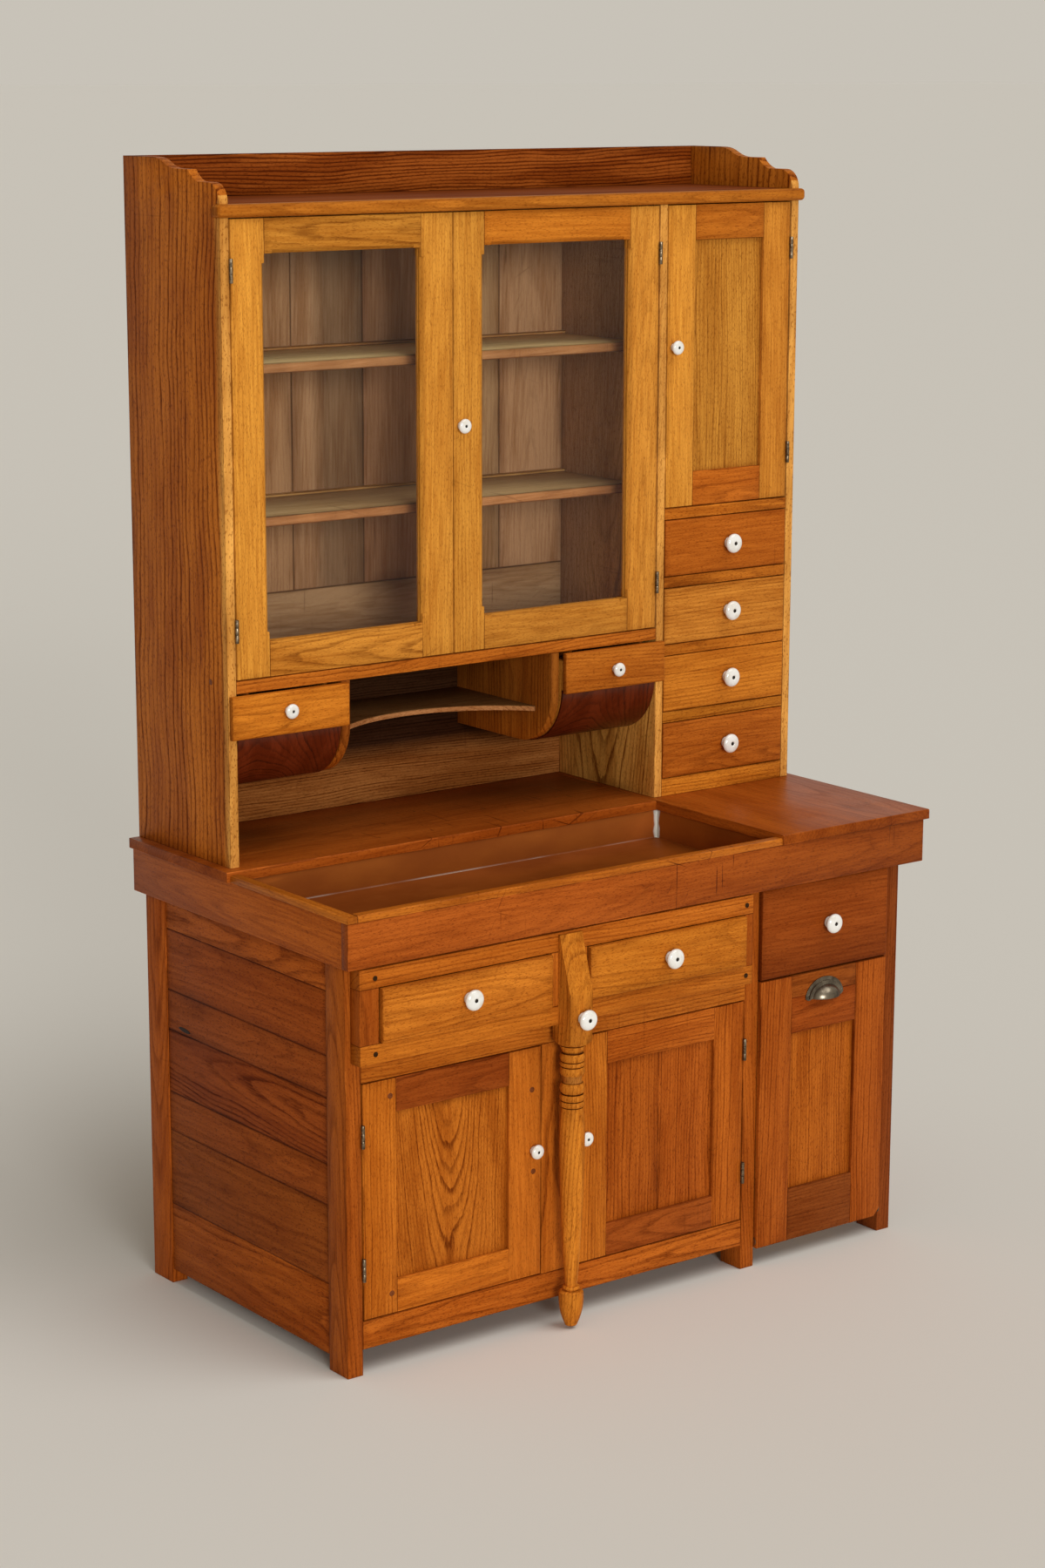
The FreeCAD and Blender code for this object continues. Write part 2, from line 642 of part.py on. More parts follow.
def build_table():
    """Makes the pull-out work table: face frame, box, turned leg and its two drawers."""
    opening_left = table_left + TABLE_LEFT_STILE
    opening_right = table_right - TABLE_RIGHT_STILE
    mid_left = mullion_mid - TABLE_MID_STILE / 2
    mid_right = mullion_mid + TABLE_MID_STILE / 2
    side_left = bay_left + TABLE_SIDE_GAP
    side_right = bay_right - TABLE_SIDE_GAP
    top_low = table_top - TABLE_TOP_BOARD
    mid_wall = mullion_mid - TABLE_BOARD / 2

    def frame_board(x0, x1, z0, z1):
        return board(x0, x1, table_front, table_frame_rear, z0, z1)

    pieces = [
        frame_board(table_left, table_right, table_bottom, table_opening_bottom),
        frame_board(table_left, table_right, table_opening_top, table_top),
        frame_board(table_left, opening_left, table_opening_bottom, table_opening_top),
        frame_board(mid_left, mid_right, table_opening_bottom, table_opening_top),
        frame_board(opening_right, table_right, table_opening_bottom, table_opening_top),
        board(side_left, side_right, table_frame_rear, table_rear, top_low, table_top),
        board(side_left, side_left + TABLE_BOARD, table_frame_rear, table_rear, table_bottom, top_low),
        board(side_right - TABLE_BOARD, side_right, table_frame_rear, table_rear, table_bottom, top_low),
        board(side_left + TABLE_BOARD, side_right - TABLE_BOARD, table_rear - TABLE_BOARD, table_rear,
              table_bottom, top_low),
        board(mid_wall, mid_wall + TABLE_BOARD, table_frame_rear, table_rear - TABLE_BOARD, table_bottom,
              top_low),
    ]
    seat = table_opening_bottom - DRAWER_SEAT + DRAWER_GAP
    walls = (
        (side_left + TABLE_BOARD, 1), (mid_wall, -1),
        (mid_wall + TABLE_BOARD, 1), (side_right - TABLE_BOARD, -1),
    )
    for wall, way in walls:
        x0, x1 = sorted((wall, wall + way * RUNNER_WIDTH))
        pieces.append(board(x0, x1, table_frame_rear, table_rear - TABLE_BOARD, seat - RUNNER_HEIGHT, seat))
    save("table_frame", pieces)

    front = table_front - TABLE_DRAWER_PROUD
    box_front = front + DRAWER_FRONT
    low = table_opening_bottom + DRAWER_GAP
    high = table_opening_top - DRAWER_GAP
    box_high = min(high, top_low - DRAWER_GAP)
    for name, x0, x1 in (("left", opening_left, mid_left), ("right", mid_right, opening_right)):
        face = (x0 + DRAWER_GAP, x1 - DRAWER_GAP, front, box_front, low, high)
        box = (x0 + DRAWER_GAP, x1 - DRAWER_GAP, box_front, box_front + TABLE_DRAWER_DEPTH, low, box_high)
        save("table_drawer_" + name, drawer(face, box, DRAWER_WALL, DRAWER_BOTTOM, DRAWER_CHAMFER))
        knob_x = (x0 + x1) / 2 + TABLE_KNOB_OFFSET[0]
        knob_z = (low + high) / 2 + TABLE_KNOB_OFFSET[1]
        save("table_drawer_" + name + "_knob", [knob(LARGE_KNOB, knob_x, front, knob_z)])

    screws = []
    for x in (table_left + SCREW_INSET, table_right - SCREW_INSET / 2):
        for z in (table_bottom + TABLE_RAIL / 2, table_top - TABLE_RAIL / 2):
            head = Part.makeCylinder(SCREW_RADIUS, SCREW_PROUD, FreeCAD.Vector(x, table_front, z),
                                     FreeCAD.Vector(0, -1, 0))
            slot = board(x - SCREW_RADIUS, x + SCREW_RADIUS, table_front - SCREW_PROUD,
                         table_front - SCREW_PROUD / 3, z - SCREW_SLOT / 2, z + SCREW_SLOT / 2)
            screws.append(head.cut(slot))
    save("table_screws", screws)
    save("table_leg", [build_leg()])
    save("table_leg_knob", [knob(LARGE_KNOB, mullion_mid + LEG_KNOB_SHIFT, leg_front,
                                 table_bottom + LEG_KNOB_RISE)])


def build_leg():
    """Returns the work table's leg: a block housed under the frame, drawn to a round and turned below."""
    x = mullion_mid
    y = leg_axis_y
    half = LEG_SQUARE / 2
    slope_top = table_top - LEG_TOP_THICKNESS
    block = side_profile([
        (table_front, table_bottom), (table_front, slope_top), (table_front - LEG_TOP_THICKNESS, slope_top),
        (leg_front, slope_top - LEG_SLOPE_HEIGHT), (leg_front, leg_square_bottom),
        (leg_front + LEG_SQUARE, leg_square_bottom), (leg_front + LEG_SQUARE, table_bottom),
    ], x - half, x + half)
    corner = half * math.sqrt(2.0) + LEG_TOP_THICKNESS
    clear_of_block = 2 * LEG_SQUARE
    tongue_top = leg_square_bottom + LEG_TONGUE_HEIGHT
    tongue = turned([
        (0.0, leg_square_bottom), (LEG_BEAD_RADIUS, leg_square_bottom),
        (corner, tongue_top, -LEG_TONGUE_BULGE), (clear_of_block, tongue_top),
        (clear_of_block, table_top), (0.0, table_top),
    ], x, y)
    block = block.common(tongue)
    return block.fuse(turned(leg_profile(), x, y)).removeSplitter()


def leg_profile():
    """Returns the (radius, z) outline of the turned part of the leg, from the square down to the toe."""
    full = LEG_BEAD_RADIUS
    groove = LEG_GROOVE_RADIUS
    high = leg_square_bottom - LEG_GROOVE
    path = [(0.0, leg_square_bottom), (groove, leg_square_bottom), (groove, high), (full, high)]

    def add_beads(top, heights):
        edge = (groove + full) / 2
        for height in heights:
            top -= LEG_GROOVE
            low = top - height
            path.extend([(groove, top), (edge, top), (edge, low, (full - edge) / height), (groove, low)])
            top = low
        return top

    path.append((groove, high - LEG_COLLAR))
    high = add_beads(high - LEG_COLLAR, LEG_UPPER_BEADS)
    path += [(LEG_NECK_RADIUS, high), (LEG_NECK_RADIUS, high - LEG_NECK)]
    high -= LEG_NECK
    path += [(full, high - LEG_SWELL / 2, LEG_SWELL_BULGE), (groove, high - LEG_SWELL, LEG_SWELL_BULGE)]
    high = add_beads(high - LEG_SWELL, LEG_LOWER_BEADS) - LEG_GROOVE

    ring_low = LEG_FLOOR_GAP + LEG_FOOT_HEIGHT
    ring_high = ring_low + LEG_RING_HEIGHT
    ring_edge = (LEG_ANKLE_RADIUS + LEG_RING_RADIUS) / 2
    shoulder = ring_low - LEG_GROOVE
    return path + [
        (groove, high), (LEG_SHAFT_RADIUS, high),
        (LEG_BELLY_RADIUS, high - LEG_BELLY_DROP, LEG_BELLY_BULGE),
        (LEG_ANKLE_RADIUS, ring_high, LEG_SHAFT_BULGE), (ring_edge, ring_high),
        (ring_edge, ring_low, (LEG_RING_RADIUS - ring_edge) / LEG_RING_HEIGHT),
        (LEG_ANKLE_RADIUS, ring_low), (LEG_ANKLE_RADIUS, shoulder),
        (LEG_FOOT_RADIUS - LEG_SHOULDER, shoulder),
        (LEG_FOOT_RADIUS, shoulder - LEG_SHOULDER),
        (LEG_TOE_RADIUS, LEG_FLOOR_GAP, LEG_FOOT_BULGE), (0.0, LEG_FLOOR_GAP),
    ]


def build_base_doors():
    """Makes the two panelled cupboard doors and returns the fixed leaves of their hinges."""
    low = bottom_rail_top + DOOR_GAP
    high = door_rail_bottom - DOOR_GAP
    mullion_left = mullion_mid - MULLION_WIDTH / 2
    mullion_right = mullion_mid + MULLION_WIDTH / 2
    fixed_leaves = []
    doors = (
        ("left", bay_left + HINGE_GAP, mullion_left - DOOR_GAP, bay_left, 1, 1, BASE_KNOB_RISES[0]),
        ("right", mullion_right + DOOR_GAP, bay_right - HINGE_GAP, bay_right, -1, 2, BASE_KNOB_RISES[1]),
    )
    for name, x0, x1, frame_x, way, boards, knob_rise in doors:
        members, panel = framed(x0, x1, post_front, low, high, DOOR_THICKNESS, (BASE_STILE, BASE_STILE),
                                (BASE_RAIL, BASE_RAIL), PANEL_THICKNESS, PANEL_SETBACK, boards)
        save("base_door_" + name, members + panel)
        fixed, moving = hinge_pair(frame_x, way, post_front, low, high, BASE_HINGE_INSET)
        save("base_door_" + name + "_hinges", moving)
        fixed_leaves += fixed
        knob_x = x1 - KNOB_EDGE if way > 0 else x0 + KNOB_EDGE
        knob_z = (low + high) / 2 + knob_rise
        save("base_door_" + name + "_knob", [knob(SMALL_KNOB, knob_x, post_front, knob_z)])
    return fixed_leaves


def build_big_drawer():
    """Makes the deep drawer above the flour bin."""
    front = post_front - BIG_DRAWER_PROUD
    box_front = front + DRAWER_FRONT
    x0 = drawer_bay_left + DRAWER_GAP
    x1 = drawer_bay_right - DRAWER_GAP
    face = (x0, x1, front, box_front, big_drawer_bottom, big_drawer_top)
    box = (x0, x1, box_front, box_front + BIG_DRAWER_DEPTH, big_drawer_bottom + DRAWER_GAP, big_drawer_top)
    save("big_drawer", drawer(face, box, DRAWER_WALL, DRAWER_BOTTOM, DRAWER_CHAMFER))
    knob_x = (x0 + x1) / 2 + BIG_KNOB_OFFSET[0]
    knob_z = (big_drawer_bottom + big_drawer_top) / 2 + BIG_KNOB_OFFSET[1]
    save("big_drawer_knob", [knob(LARGE_KNOB, knob_x, front, knob_z)])


def build_flour_bin():
    """Makes the tilt-out flour bin, its pivot pins and its cup pull."""
    front = post_front - FLOUR_BIN_PROUD
    rear = front + FLOUR_BIN_THICKNESS
    x0 = drawer_bay_left + DRAWER_GAP
    x1 = drawer_bay_right - FLOUR_BIN_GAP
    members, panel = framed(x0, x1, front, FLOUR_BIN_BOTTOM, flour_bin_top, FLOUR_BIN_THICKNESS,
                            (FLOUR_STILE, FLOUR_STILE), (FLOUR_BOTTOM_RAIL, FLOUR_TOP_RAIL),
                            PANEL_THICKNESS, PANEL_SETBACK)
    corner = outline([(x1, FLOUR_BIN_BOTTOM), (x1, FLOUR_BIN_BOTTOM + FLOUR_CORNER_CLIP),
                      (x1 - FLOUR_CORNER_CLIP, FLOUR_BIN_BOTTOM)],
                     lambda x, z: FreeCAD.Vector(x, front, z))
    clip = corner.extrude(FreeCAD.Vector(0, FLOUR_BIN_THICKNESS, 0))
    way = FreeCAD.Vector(1, 0, 0)
    bore = Part.makeCylinder(PIVOT_RADIUS + PIVOT_CLEARANCE, x1 - x0,
                             FreeCAD.Vector(x0, pivot_y, pivot_z), way)
    middle = board(x0 + PIVOT_REACH, x1 - PIVOT_REACH, front, rear, FLOUR_BIN_BOTTOM, flour_bin_top)
    members = [member.cut(bore.cut(middle)).cut(clip) for member in members]
    top_rail = members.pop()
    upper = board(x0, x1, front, rear, flour_bin_top - FLOUR_RAIL_SEAM, flour_bin_top)
    members += [top_rail.common(upper), top_rail.cut(upper)]

    runner_bottom = big_drawer_bottom + DRAWER_GAP - DRAWER_SEAT - RUNNER_HEIGHT
    reach = runner_bottom - FLOUR_BIN_GAP - pivot_z
    box_rear = rear + FLOUR_BIN_DEPTH
    floor = pivot_z + PIVOT_RADIUS + FLOUR_BIN_GAP
    front_high = pivot_z + math.sqrt(reach ** 2 - (rear - pivot_y) ** 2)
    rear_high = pivot_z + math.sqrt(reach ** 2 - (box_rear - pivot_y) ** 2)
    chord = math.hypot(box_rear - rear, front_high - rear_high)
    sagitta = reach - math.sqrt(reach ** 2 - chord ** 2 / 4)
    side = [(rear, floor), (box_rear, floor), (box_rear, rear_high), (rear, front_high, -sagitta / chord)]
    left = x0 + FLOUR_BOX_INSET
    right = x1 - FLOUR_BOX_INSET
    walls = [
        side_profile(side, left, left + DRAWER_WALL), side_profile(side, right - DRAWER_WALL, right),
        board(left + DRAWER_WALL, right - DRAWER_WALL, box_rear - DRAWER_WALL, box_rear,
              floor + DRAWER_BOTTOM, rear_high),
        board(left + DRAWER_WALL, right - DRAWER_WALL, rear, box_rear, floor, floor + DRAWER_BOTTOM),
    ]
    save("flour_bin", members + panel + walls)

    pins = []
    for face_x, way_in in ((drawer_bay_left, 1), (drawer_bay_right, -1)):
        gap = DRAWER_GAP if way_in > 0 else FLOUR_BIN_GAP
        plate = min(PIVOT_PLATE, gap / 2)
        place = FreeCAD.Vector(face_x, pivot_y, pivot_z)
        aim = FreeCAD.Vector(way_in, 0, 0)
        pin = Part.makeCylinder(PIVOT_RADIUS, gap + PIVOT_REACH - FLOUR_BIN_GAP, place, aim)
        pins.append(pin.fuse(Part.makeCylinder(PIVOT_PLATE_RADIUS, plate, place, aim)).removeSplitter())
    save("bin_pivot_pins", pins)
    save("bin_cup_pull", [cup_pull((x0 + x1) / 2, front, flour_bin_top - CUP_DROP)])


def cup_pull(x, y, z):
    """Returns a cup pull on the face at y, a dome on a stepped, eared plate, with its mouth at height z."""
    def dome(half_width, depth):
        ellipse = Part.Ellipse(FreeCAD.Vector(x, y, z), half_width, depth)
        path = Part.Wire([Part.Arc(ellipse, math.pi, 2 * math.pi).toShape(),
                          Part.makeLine(FreeCAD.Vector(x + half_width, y, z),
                                        FreeCAD.Vector(x - half_width, y, z))])
        return Part.Face(path).revolve(FreeCAD.Vector(x, y, z), FreeCAD.Vector(-1, 0, 0), 90)

    def arch(half_width, height, depth):
        ellipse = Part.Ellipse(FreeCAD.Vector(x, y, z), half_width, height)
        rim = Part.Wire([Part.Arc(ellipse, 0, math.pi).toShape(),
                         Part.makeLine(FreeCAD.Vector(x - half_width, y, z),
                                       FreeCAD.Vector(x + half_width, y, z))])
        raised = Part.Face(rim).extrude(FreeCAD.Vector(0, 0, depth))
        raised.rotate(FreeCAD.Vector(x, y, z), FreeCAD.Vector(1, 0, 0), 90)
        return raised

    plate = arch(CUP_PLATE_HALF_WIDTH, CUP_PLATE_HEIGHT, CUP_SHEET)
    ear_reach = CUP_PLATE_HALF_WIDTH - CUP_EAR_RADIUS
    for ear_x in (x - ear_reach, x + ear_reach):
        foot = FreeCAD.Vector(ear_x, y, z + CUP_EAR_RISE)
        plate = plate.fuse(Part.makeCylinder(CUP_EAR_RADIUS, CUP_SHEET, foot, FreeCAD.Vector(0, -1, 0)))
    hollow = dome(CUP_HALF_WIDTH - CUP_SHEET, CUP_DEPTH - CUP_SHEET)
    ridge = arch(CUP_RIDGE_HALF_WIDTH, CUP_RIDGE_HEIGHT, CUP_RIDGE_DEPTH)
    cup = dome(CUP_HALF_WIDTH, CUP_DEPTH).fuse(ridge).cut(hollow)
    return cup.fuse(plate).removeSplitter()


def build_hutch_carcass():
    """Makes the scrolled sides, the partition, the top, the back, the cupboard floor and the shelves."""
    step_high = gallery_top - SCROLL_OGEE_DROP
    step_low = step_high - SCROLL_COVE_DROP
    nose = top_board_top + SCROLL_STUB
    y1 = hutch_front + step_low - nose
    y2 = y1 + SCROLL_LOW_STEP
    y3 = y2 + SCROLL_COVE_RUN
    y4 = y3 + SCROLL_STEP
    y5 = y4 + SCROLL_OGEE_RUN
    lap = hutch_front + NOSING_LAP
    path = [
        (hutch_front, counter_top), (back, counter_top), (back, gallery_top), (y5, gallery_top),
        *ogee((y5, gallery_top), (y4, step_high)), (y3, step_high), (y2, step_low, SCROLL_COVE_BULGE),
        (y1, step_low), (hutch_front, nose, -QUARTER_BULGE), (hutch_front, top_board_top),
        (lap, top_board_top), (lap, top_board_bottom), (hutch_front, top_board_bottom),
    ]
    save("hutch_sides", [side_profile(path, hutch_left, cupboard_left),
                         side_profile(path, spice_right, hutch_right)])
    save("hutch_partition", [board(cupboard_right, spice_left, hutch_front, hutch_inner_back, counter_top,
                                   top_board_bottom)])

    nosing_front = hutch_front - NOSING_PROUD
    nosing_left = hutch_left - NOSING_HORN
    nosing_right = hutch_right + NOSING_HORN
    nosing = board(nosing_left, nosing_right, nosing_front, lap, top_board_bottom, top_board_top)
    nosing = soften(nosing, NOSING_ROUND, lambda box: box.YMax < nosing_front + NOSING_LAP / 2
                    or (box.YLength > NOSING_LAP and (box.XMax < hutch_left or box.XMin > hutch_right)))
    save("hutch_top_board", [board(cupboard_left, spice_right, lap, hutch_inner_back, top_board_bottom,
                                   top_board_top), nosing])

    kick_top = waist_top + BACK_KICK_BOARD
    niche_mid = (counter_top + waist_bottom) / 2
    backs = [
        board(cupboard_left, spice_right, hutch_inner_back, back, counter_top, niche_mid),
        board(cupboard_left, spice_right, hutch_inner_back, back, niche_mid, waist_bottom),
        board(cupboard_left, spice_right, hutch_inner_back, back, waist_bottom, kick_top),
        board(cupboard_left, spice_right, hutch_inner_back, back, top_board_top, gallery_top),
    ]
    step = (spice_right - cupboard_left) / HUTCH_BACK_COUNT
    for index in range(HUTCH_BACK_COUNT):
        start = cupboard_left + index * step
        backs.append(board(start, start + step, hutch_inner_back, back, kick_top, top_board_top))
    save("hutch_back_boards", backs)

    shelves = [board(cupboard_left, cupboard_right, hutch_front, hutch_inner_back, waist_bottom, waist_top)]
    for height in SHELF_HEIGHTS:
        low = waist_top + height
        high = low + SHELF_BOARD
        shelves.append(board(cupboard_left, cupboard_right, hutch_inner_back - SHELF_DEPTH,
                             hutch_inner_back, low, high))
        shelves.append(board(cupboard_left, cupboard_right, hutch_inner_back - PLATE_STRIP_DEPTH,
                             hutch_inner_back, high, high + PLATE_STRIP_HEIGHT))
    save("cupboard_shelves", shelves)


def build_glass_doors():
    """Makes the two glazed doors and returns the fixed leaves of their hinges."""
    low = waist_top + DOOR_GAP
    high = top_board_bottom - DOOR_GAP
    meeting = (cupboard_left + cupboard_right) / 2 + GLASS_LEFT_SHARE
    fixed_leaves = []
    doors = (
        ("left", cupboard_left + HINGE_GAP, meeting - DOOR_GAP / 2, cupboard_left, 1),
        ("right", meeting + DOOR_GAP / 2, cupboard_right - HINGE_GAP, cupboard_right, -1),
    )
    for name, x0, x1, frame_x, way in doors:
        setback = DOOR_THICKNESS - PANEL_SETBACK - PANE_THICKNESS
        members, pane = framed(x0, x1, hutch_front, low, high, DOOR_THICKNESS, (GLASS_STILE, GLASS_STILE),
                               (GLASS_BOTTOM_RAIL, GLASS_TOP_RAIL), PANE_THICKNESS, setback)
        members = stop_chamfer(members, x0 + GLASS_STILE, x1 - GLASS_STILE, low + GLASS_BOTTOM_RAIL,
                               high - GLASS_TOP_RAIL, hutch_front)
        save("glass_door_" + name, members)
        save("glass_door_" + name + "_pane", pane)
        fixed, moving = hinge_pair(frame_x, way, hutch_front, low, high, HINGE_INSET)
        save("glass_door_" + name + "_hinges", moving)
        fixed_leaves += fixed
    knob_x = meeting + DOOR_GAP / 2 + KNOB_EDGE
    knob_z = (low + high) / 2 + GLASS_KNOB_RISE
    save("glass_door_right_knob", [knob(SMALL_KNOB, knob_x, hutch_front, knob_z)])
    return fixed_leaves


def build_spice_column():
    """Makes the narrow door, the drawers below and their rails. Returns the fixed leaves of the hinges."""
    rail_rear = hutch_front + FRONT_RAIL
    low = spice_floor_top + DOOR_GAP
    high = top_board_bottom - DOOR_GAP
    x0 = spice_left + DOOR_GAP
    x1 = spice_right - HINGE_GAP
    members, panel = framed(x0, x1, hutch_front, low, high, DOOR_THICKNESS, (SPICE_STILE, SPICE_STILE),
                            (SPICE_DOOR_RAIL, SPICE_DOOR_RAIL), PANEL_THICKNESS, PANEL_SETBACK)
    save("spice_door", members + panel)
    fixed, moving = hinge_pair(spice_right, -1, hutch_front, low, high, HINGE_INSET)
    save("spice_door_hinges", moving)
    knob_z = (low + high) / 2 + SPICE_DOOR_KNOB_RISE
    save("spice_door_knob", [knob(SMALL_KNOB, x0 + KNOB_EDGE, hutch_front, knob_z)])

    rails = [
        board(spice_left, spice_right, hutch_front, rail_rear, counter_top, counter_top + SPICE_BASE_RAIL),
        board(spice_left, spice_right, hutch_front, hutch_inner_back, spice_floor_bottom, spice_floor_top),
    ]
    front = hutch_front - SPICE_DRAWER_PROUD
    box_front = front + DRAWER_FRONT
    for index in range(SPICE_COUNT):
        opening = spice_floor_bottom - SPICE_OPENING - index * spice_pitch
        if index < SPICE_COUNT - 1:
            rails.append(board(spice_left, spice_right, hutch_front, rail_rear, opening - SPICE_RAIL,
                               opening))
        seat = opening + DRAWER_GAP - DRAWER_SEAT
        for left in (spice_left, spice_right - SPICE_RUNNER_WIDTH):
            rails.append(board(left, left + SPICE_RUNNER_WIDTH, rail_rear, hutch_inner_back,
                               seat - SPICE_RAIL, seat))
        face = (spice_left + DRAWER_GAP, spice_right - DRAWER_GAP, front, box_front, opening + DRAWER_GAP,
                opening + SPICE_OPENING - DRAWER_GAP)
        box = face[:2] + (box_front, box_front + SPICE_DRAWER_DEPTH) + face[4:]
        name = "spice_drawer_" + str(index + 1)
        save(name, drawer(face, box, DRAWER_WALL, DRAWER_BOTTOM, DRAWER_CHAMFER))
        knob_x = (spice_left + spice_right) / 2 + SPICE_KNOB_SHIFT
        save(name + "_knob", [knob(LARGE_KNOB, knob_x, front, opening + SPICE_OPENING / 2)])
    save("spice_rails", rails)
    return fixed


def build_bins():
    """Makes the hanging bins with bent-sheet bottoms, their brackets and hangers, and the niche shelf."""
    bracket_low = waist_bottom - BRACKET_HEIGHT
    bracket = [
        (hutch_front, waist_bottom), (hutch_front, bracket_low + BRACKET_ROUND),
        (hutch_front + BRACKET_ROUND, bracket_low, -QUARTER_BULGE), (hutch_inner_back, bracket_low),
        (hutch_inner_back, waist_bottom),
    ]
    brackets = [
        side_profile(bracket, left_bracket, left_bracket + BRACKET_BOARD),
        side_profile(bracket, right_bracket, right_bracket + BRACKET_BOARD),
    ]

    shelf_left = left_bracket + BRACKET_BOARD
    shelf_front = hutch_front + NICHE_SHELF_SETBACK
    shelf_top = waist_bottom - NICHE_SHELF_DROP
    bow = NICHE_SHELF_BOW / (right_bracket - shelf_left)
    shelf = outline([(shelf_left, shelf_front), (right_bracket, shelf_front, bow),
                     (right_bracket, hutch_inner_back), (shelf_left, hutch_inner_back)],
                    lambda x, y: FreeCAD.Vector(x, y, shelf_top - NICHE_SHELF))
    save("niche_shelf", [shelf.extrude(FreeCAD.Vector(0, 0, NICHE_SHELF))])

    spaces = (
        ("left", cupboard_left, left_bracket, BIN_LEFT_LAPS, BIN_KNOB_OFFSETS[0]),
        ("right", right_bracket + BRACKET_BOARD, cupboard_right, BIN_RIGHT_LAPS, BIN_KNOB_OFFSETS[1]),
    )
    for name, x0, x1, laps, knob_offset in spaces:
        left = x0 + max(BIN_SIDE_GAP, -laps[0])
        right = x1 - max(BIN_SIDE_GAP, -laps[1])
        save("bin_" + name, build_bin(x0, x1, left, right, laps))
        face_y = hutch_front - BIN_FRONT
        knob_x = (x0 - laps[0] + x1 + laps[1]) / 2 + knob_offset[0]
        knob_z = (bin_front_bottom + bin_front_top) / 2 + knob_offset[1]
        save("bin_" + name + "_knob", [knob(SMALL_KNOB, knob_x, face_y, knob_z)])
        lip_low = bin_front_top - BIN_SIDE_DROP - BIN_LIP
        for edge, way in ((left, 1), (right, -1)):
            ledge = edge + way * (BIN_WALL + BIN_SIDE_GAP)
            web = ledge + way * BIN_LIP
            bounds = sorted((ledge, web))
            web_bounds = sorted((web, web + way * HANGER_WEB))
            hanger_front = hutch_front + BIN_LIP
            ledge_top = lip_low - DRAWER_SEAT
            low = ledge_top - BIN_LIP
            brackets.append(board(*bounds, hanger_front, hutch_inner_back, low, ledge_top))
            brackets.append(board(*web_bounds, hanger_front, hutch_inner_back, low, waist_bottom))
    save("bin_brackets", brackets)


def build_bin(x0, x1, left, right, laps):
    """Returns one hanging bin: overlaid front, shaped sides, back, top lips and the bent sheet below."""
    low = bin_bottom
    rear = hutch_front + BIN_DEPTH
    high = bin_front_top - BIN_SIDE_DROP
    inner_round = BIN_ROUND - BIN_SHEET
    front_in = hutch_front + BIN_SHEET
    bend_top = low + BIN_ROUND
    side = [
        (front_in, high), (front_in, bend_top), (front_in + inner_round, low + BIN_SHEET, -QUARTER_BULGE),
        (rear, low + BIN_SHEET), (rear, high),
    ]
    sheet = [
        (hutch_front, bend_top), (hutch_front + BIN_ROUND, low, -QUARTER_BULGE), (rear, low),
        (rear, low + BIN_SHEET), (front_in + inner_round, low + BIN_SHEET),
        (front_in, bend_top, QUARTER_BULGE),
    ]
    front = board(x0 - laps[0], x1 + laps[1], hutch_front - BIN_FRONT, hutch_front, bin_front_bottom,
                  bin_front_top)
    picked = [edge for edge in front.Edges if edge.BoundBox.YMax < hutch_front - BIN_FRONT / 2]
    front = front.makeChamfer(DRAWER_CHAMFER, picked)
    filler = board(left, right, hutch_front, front_in, bend_top, high)
    pieces = [
        front, filler,
        side_profile(side, left, left + BIN_WALL), side_profile(side, right - BIN_WALL, right),
        board(left + BIN_WALL, right - BIN_WALL, rear - BIN_WALL, rear, low + BIN_SHEET,
              high - BIN_BACK_DROP),
        side_profile(sheet, left, right),
    ]
    for edge, way in ((left + BIN_WALL, 1), (right - BIN_WALL, -1)):
        bounds = sorted((edge, edge + way * BIN_LIP))
        pieces.append(board(*bounds, front_in, rear, high - BIN_LIP, high))
    return pieces


os.makedirs("parts", exist_ok=True)
build_posts_and_ends()
build_sink()
build_table()
build_big_drawer()
build_flour_bin()
build_hutch_carcass()
build_bins()
fixed_leaves = build_base_doors() + build_glass_doors() + build_spice_column()
save("hinge_leaves", fixed_leaves)
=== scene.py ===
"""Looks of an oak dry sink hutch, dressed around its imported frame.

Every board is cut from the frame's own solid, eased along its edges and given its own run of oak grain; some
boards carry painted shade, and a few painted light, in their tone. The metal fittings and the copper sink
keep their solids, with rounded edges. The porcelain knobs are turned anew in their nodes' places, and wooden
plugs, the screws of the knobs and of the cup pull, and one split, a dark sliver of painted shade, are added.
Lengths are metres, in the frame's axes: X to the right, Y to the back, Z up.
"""

import json
import logging
import math
import random
from dataclasses import dataclass, field, replace
from enum import Enum, IntEnum

import bpy
from mathutils import Euler, Matrix, Vector


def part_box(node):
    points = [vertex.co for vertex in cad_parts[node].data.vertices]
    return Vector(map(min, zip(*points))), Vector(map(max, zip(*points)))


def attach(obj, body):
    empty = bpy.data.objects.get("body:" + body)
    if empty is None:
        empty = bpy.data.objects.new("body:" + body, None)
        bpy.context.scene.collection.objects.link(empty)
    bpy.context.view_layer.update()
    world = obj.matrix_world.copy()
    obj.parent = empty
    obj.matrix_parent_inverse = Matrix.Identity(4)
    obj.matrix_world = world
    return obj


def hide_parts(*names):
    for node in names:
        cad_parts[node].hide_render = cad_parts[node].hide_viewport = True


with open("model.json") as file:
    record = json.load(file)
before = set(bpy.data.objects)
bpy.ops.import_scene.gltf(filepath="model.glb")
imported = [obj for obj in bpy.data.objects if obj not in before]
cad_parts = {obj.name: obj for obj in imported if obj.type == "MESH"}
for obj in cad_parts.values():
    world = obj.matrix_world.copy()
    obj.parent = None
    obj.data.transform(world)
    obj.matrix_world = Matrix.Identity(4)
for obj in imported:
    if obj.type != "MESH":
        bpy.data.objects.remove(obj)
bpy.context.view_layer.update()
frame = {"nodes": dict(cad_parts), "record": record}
LOG = logging.getLogger("hutch")

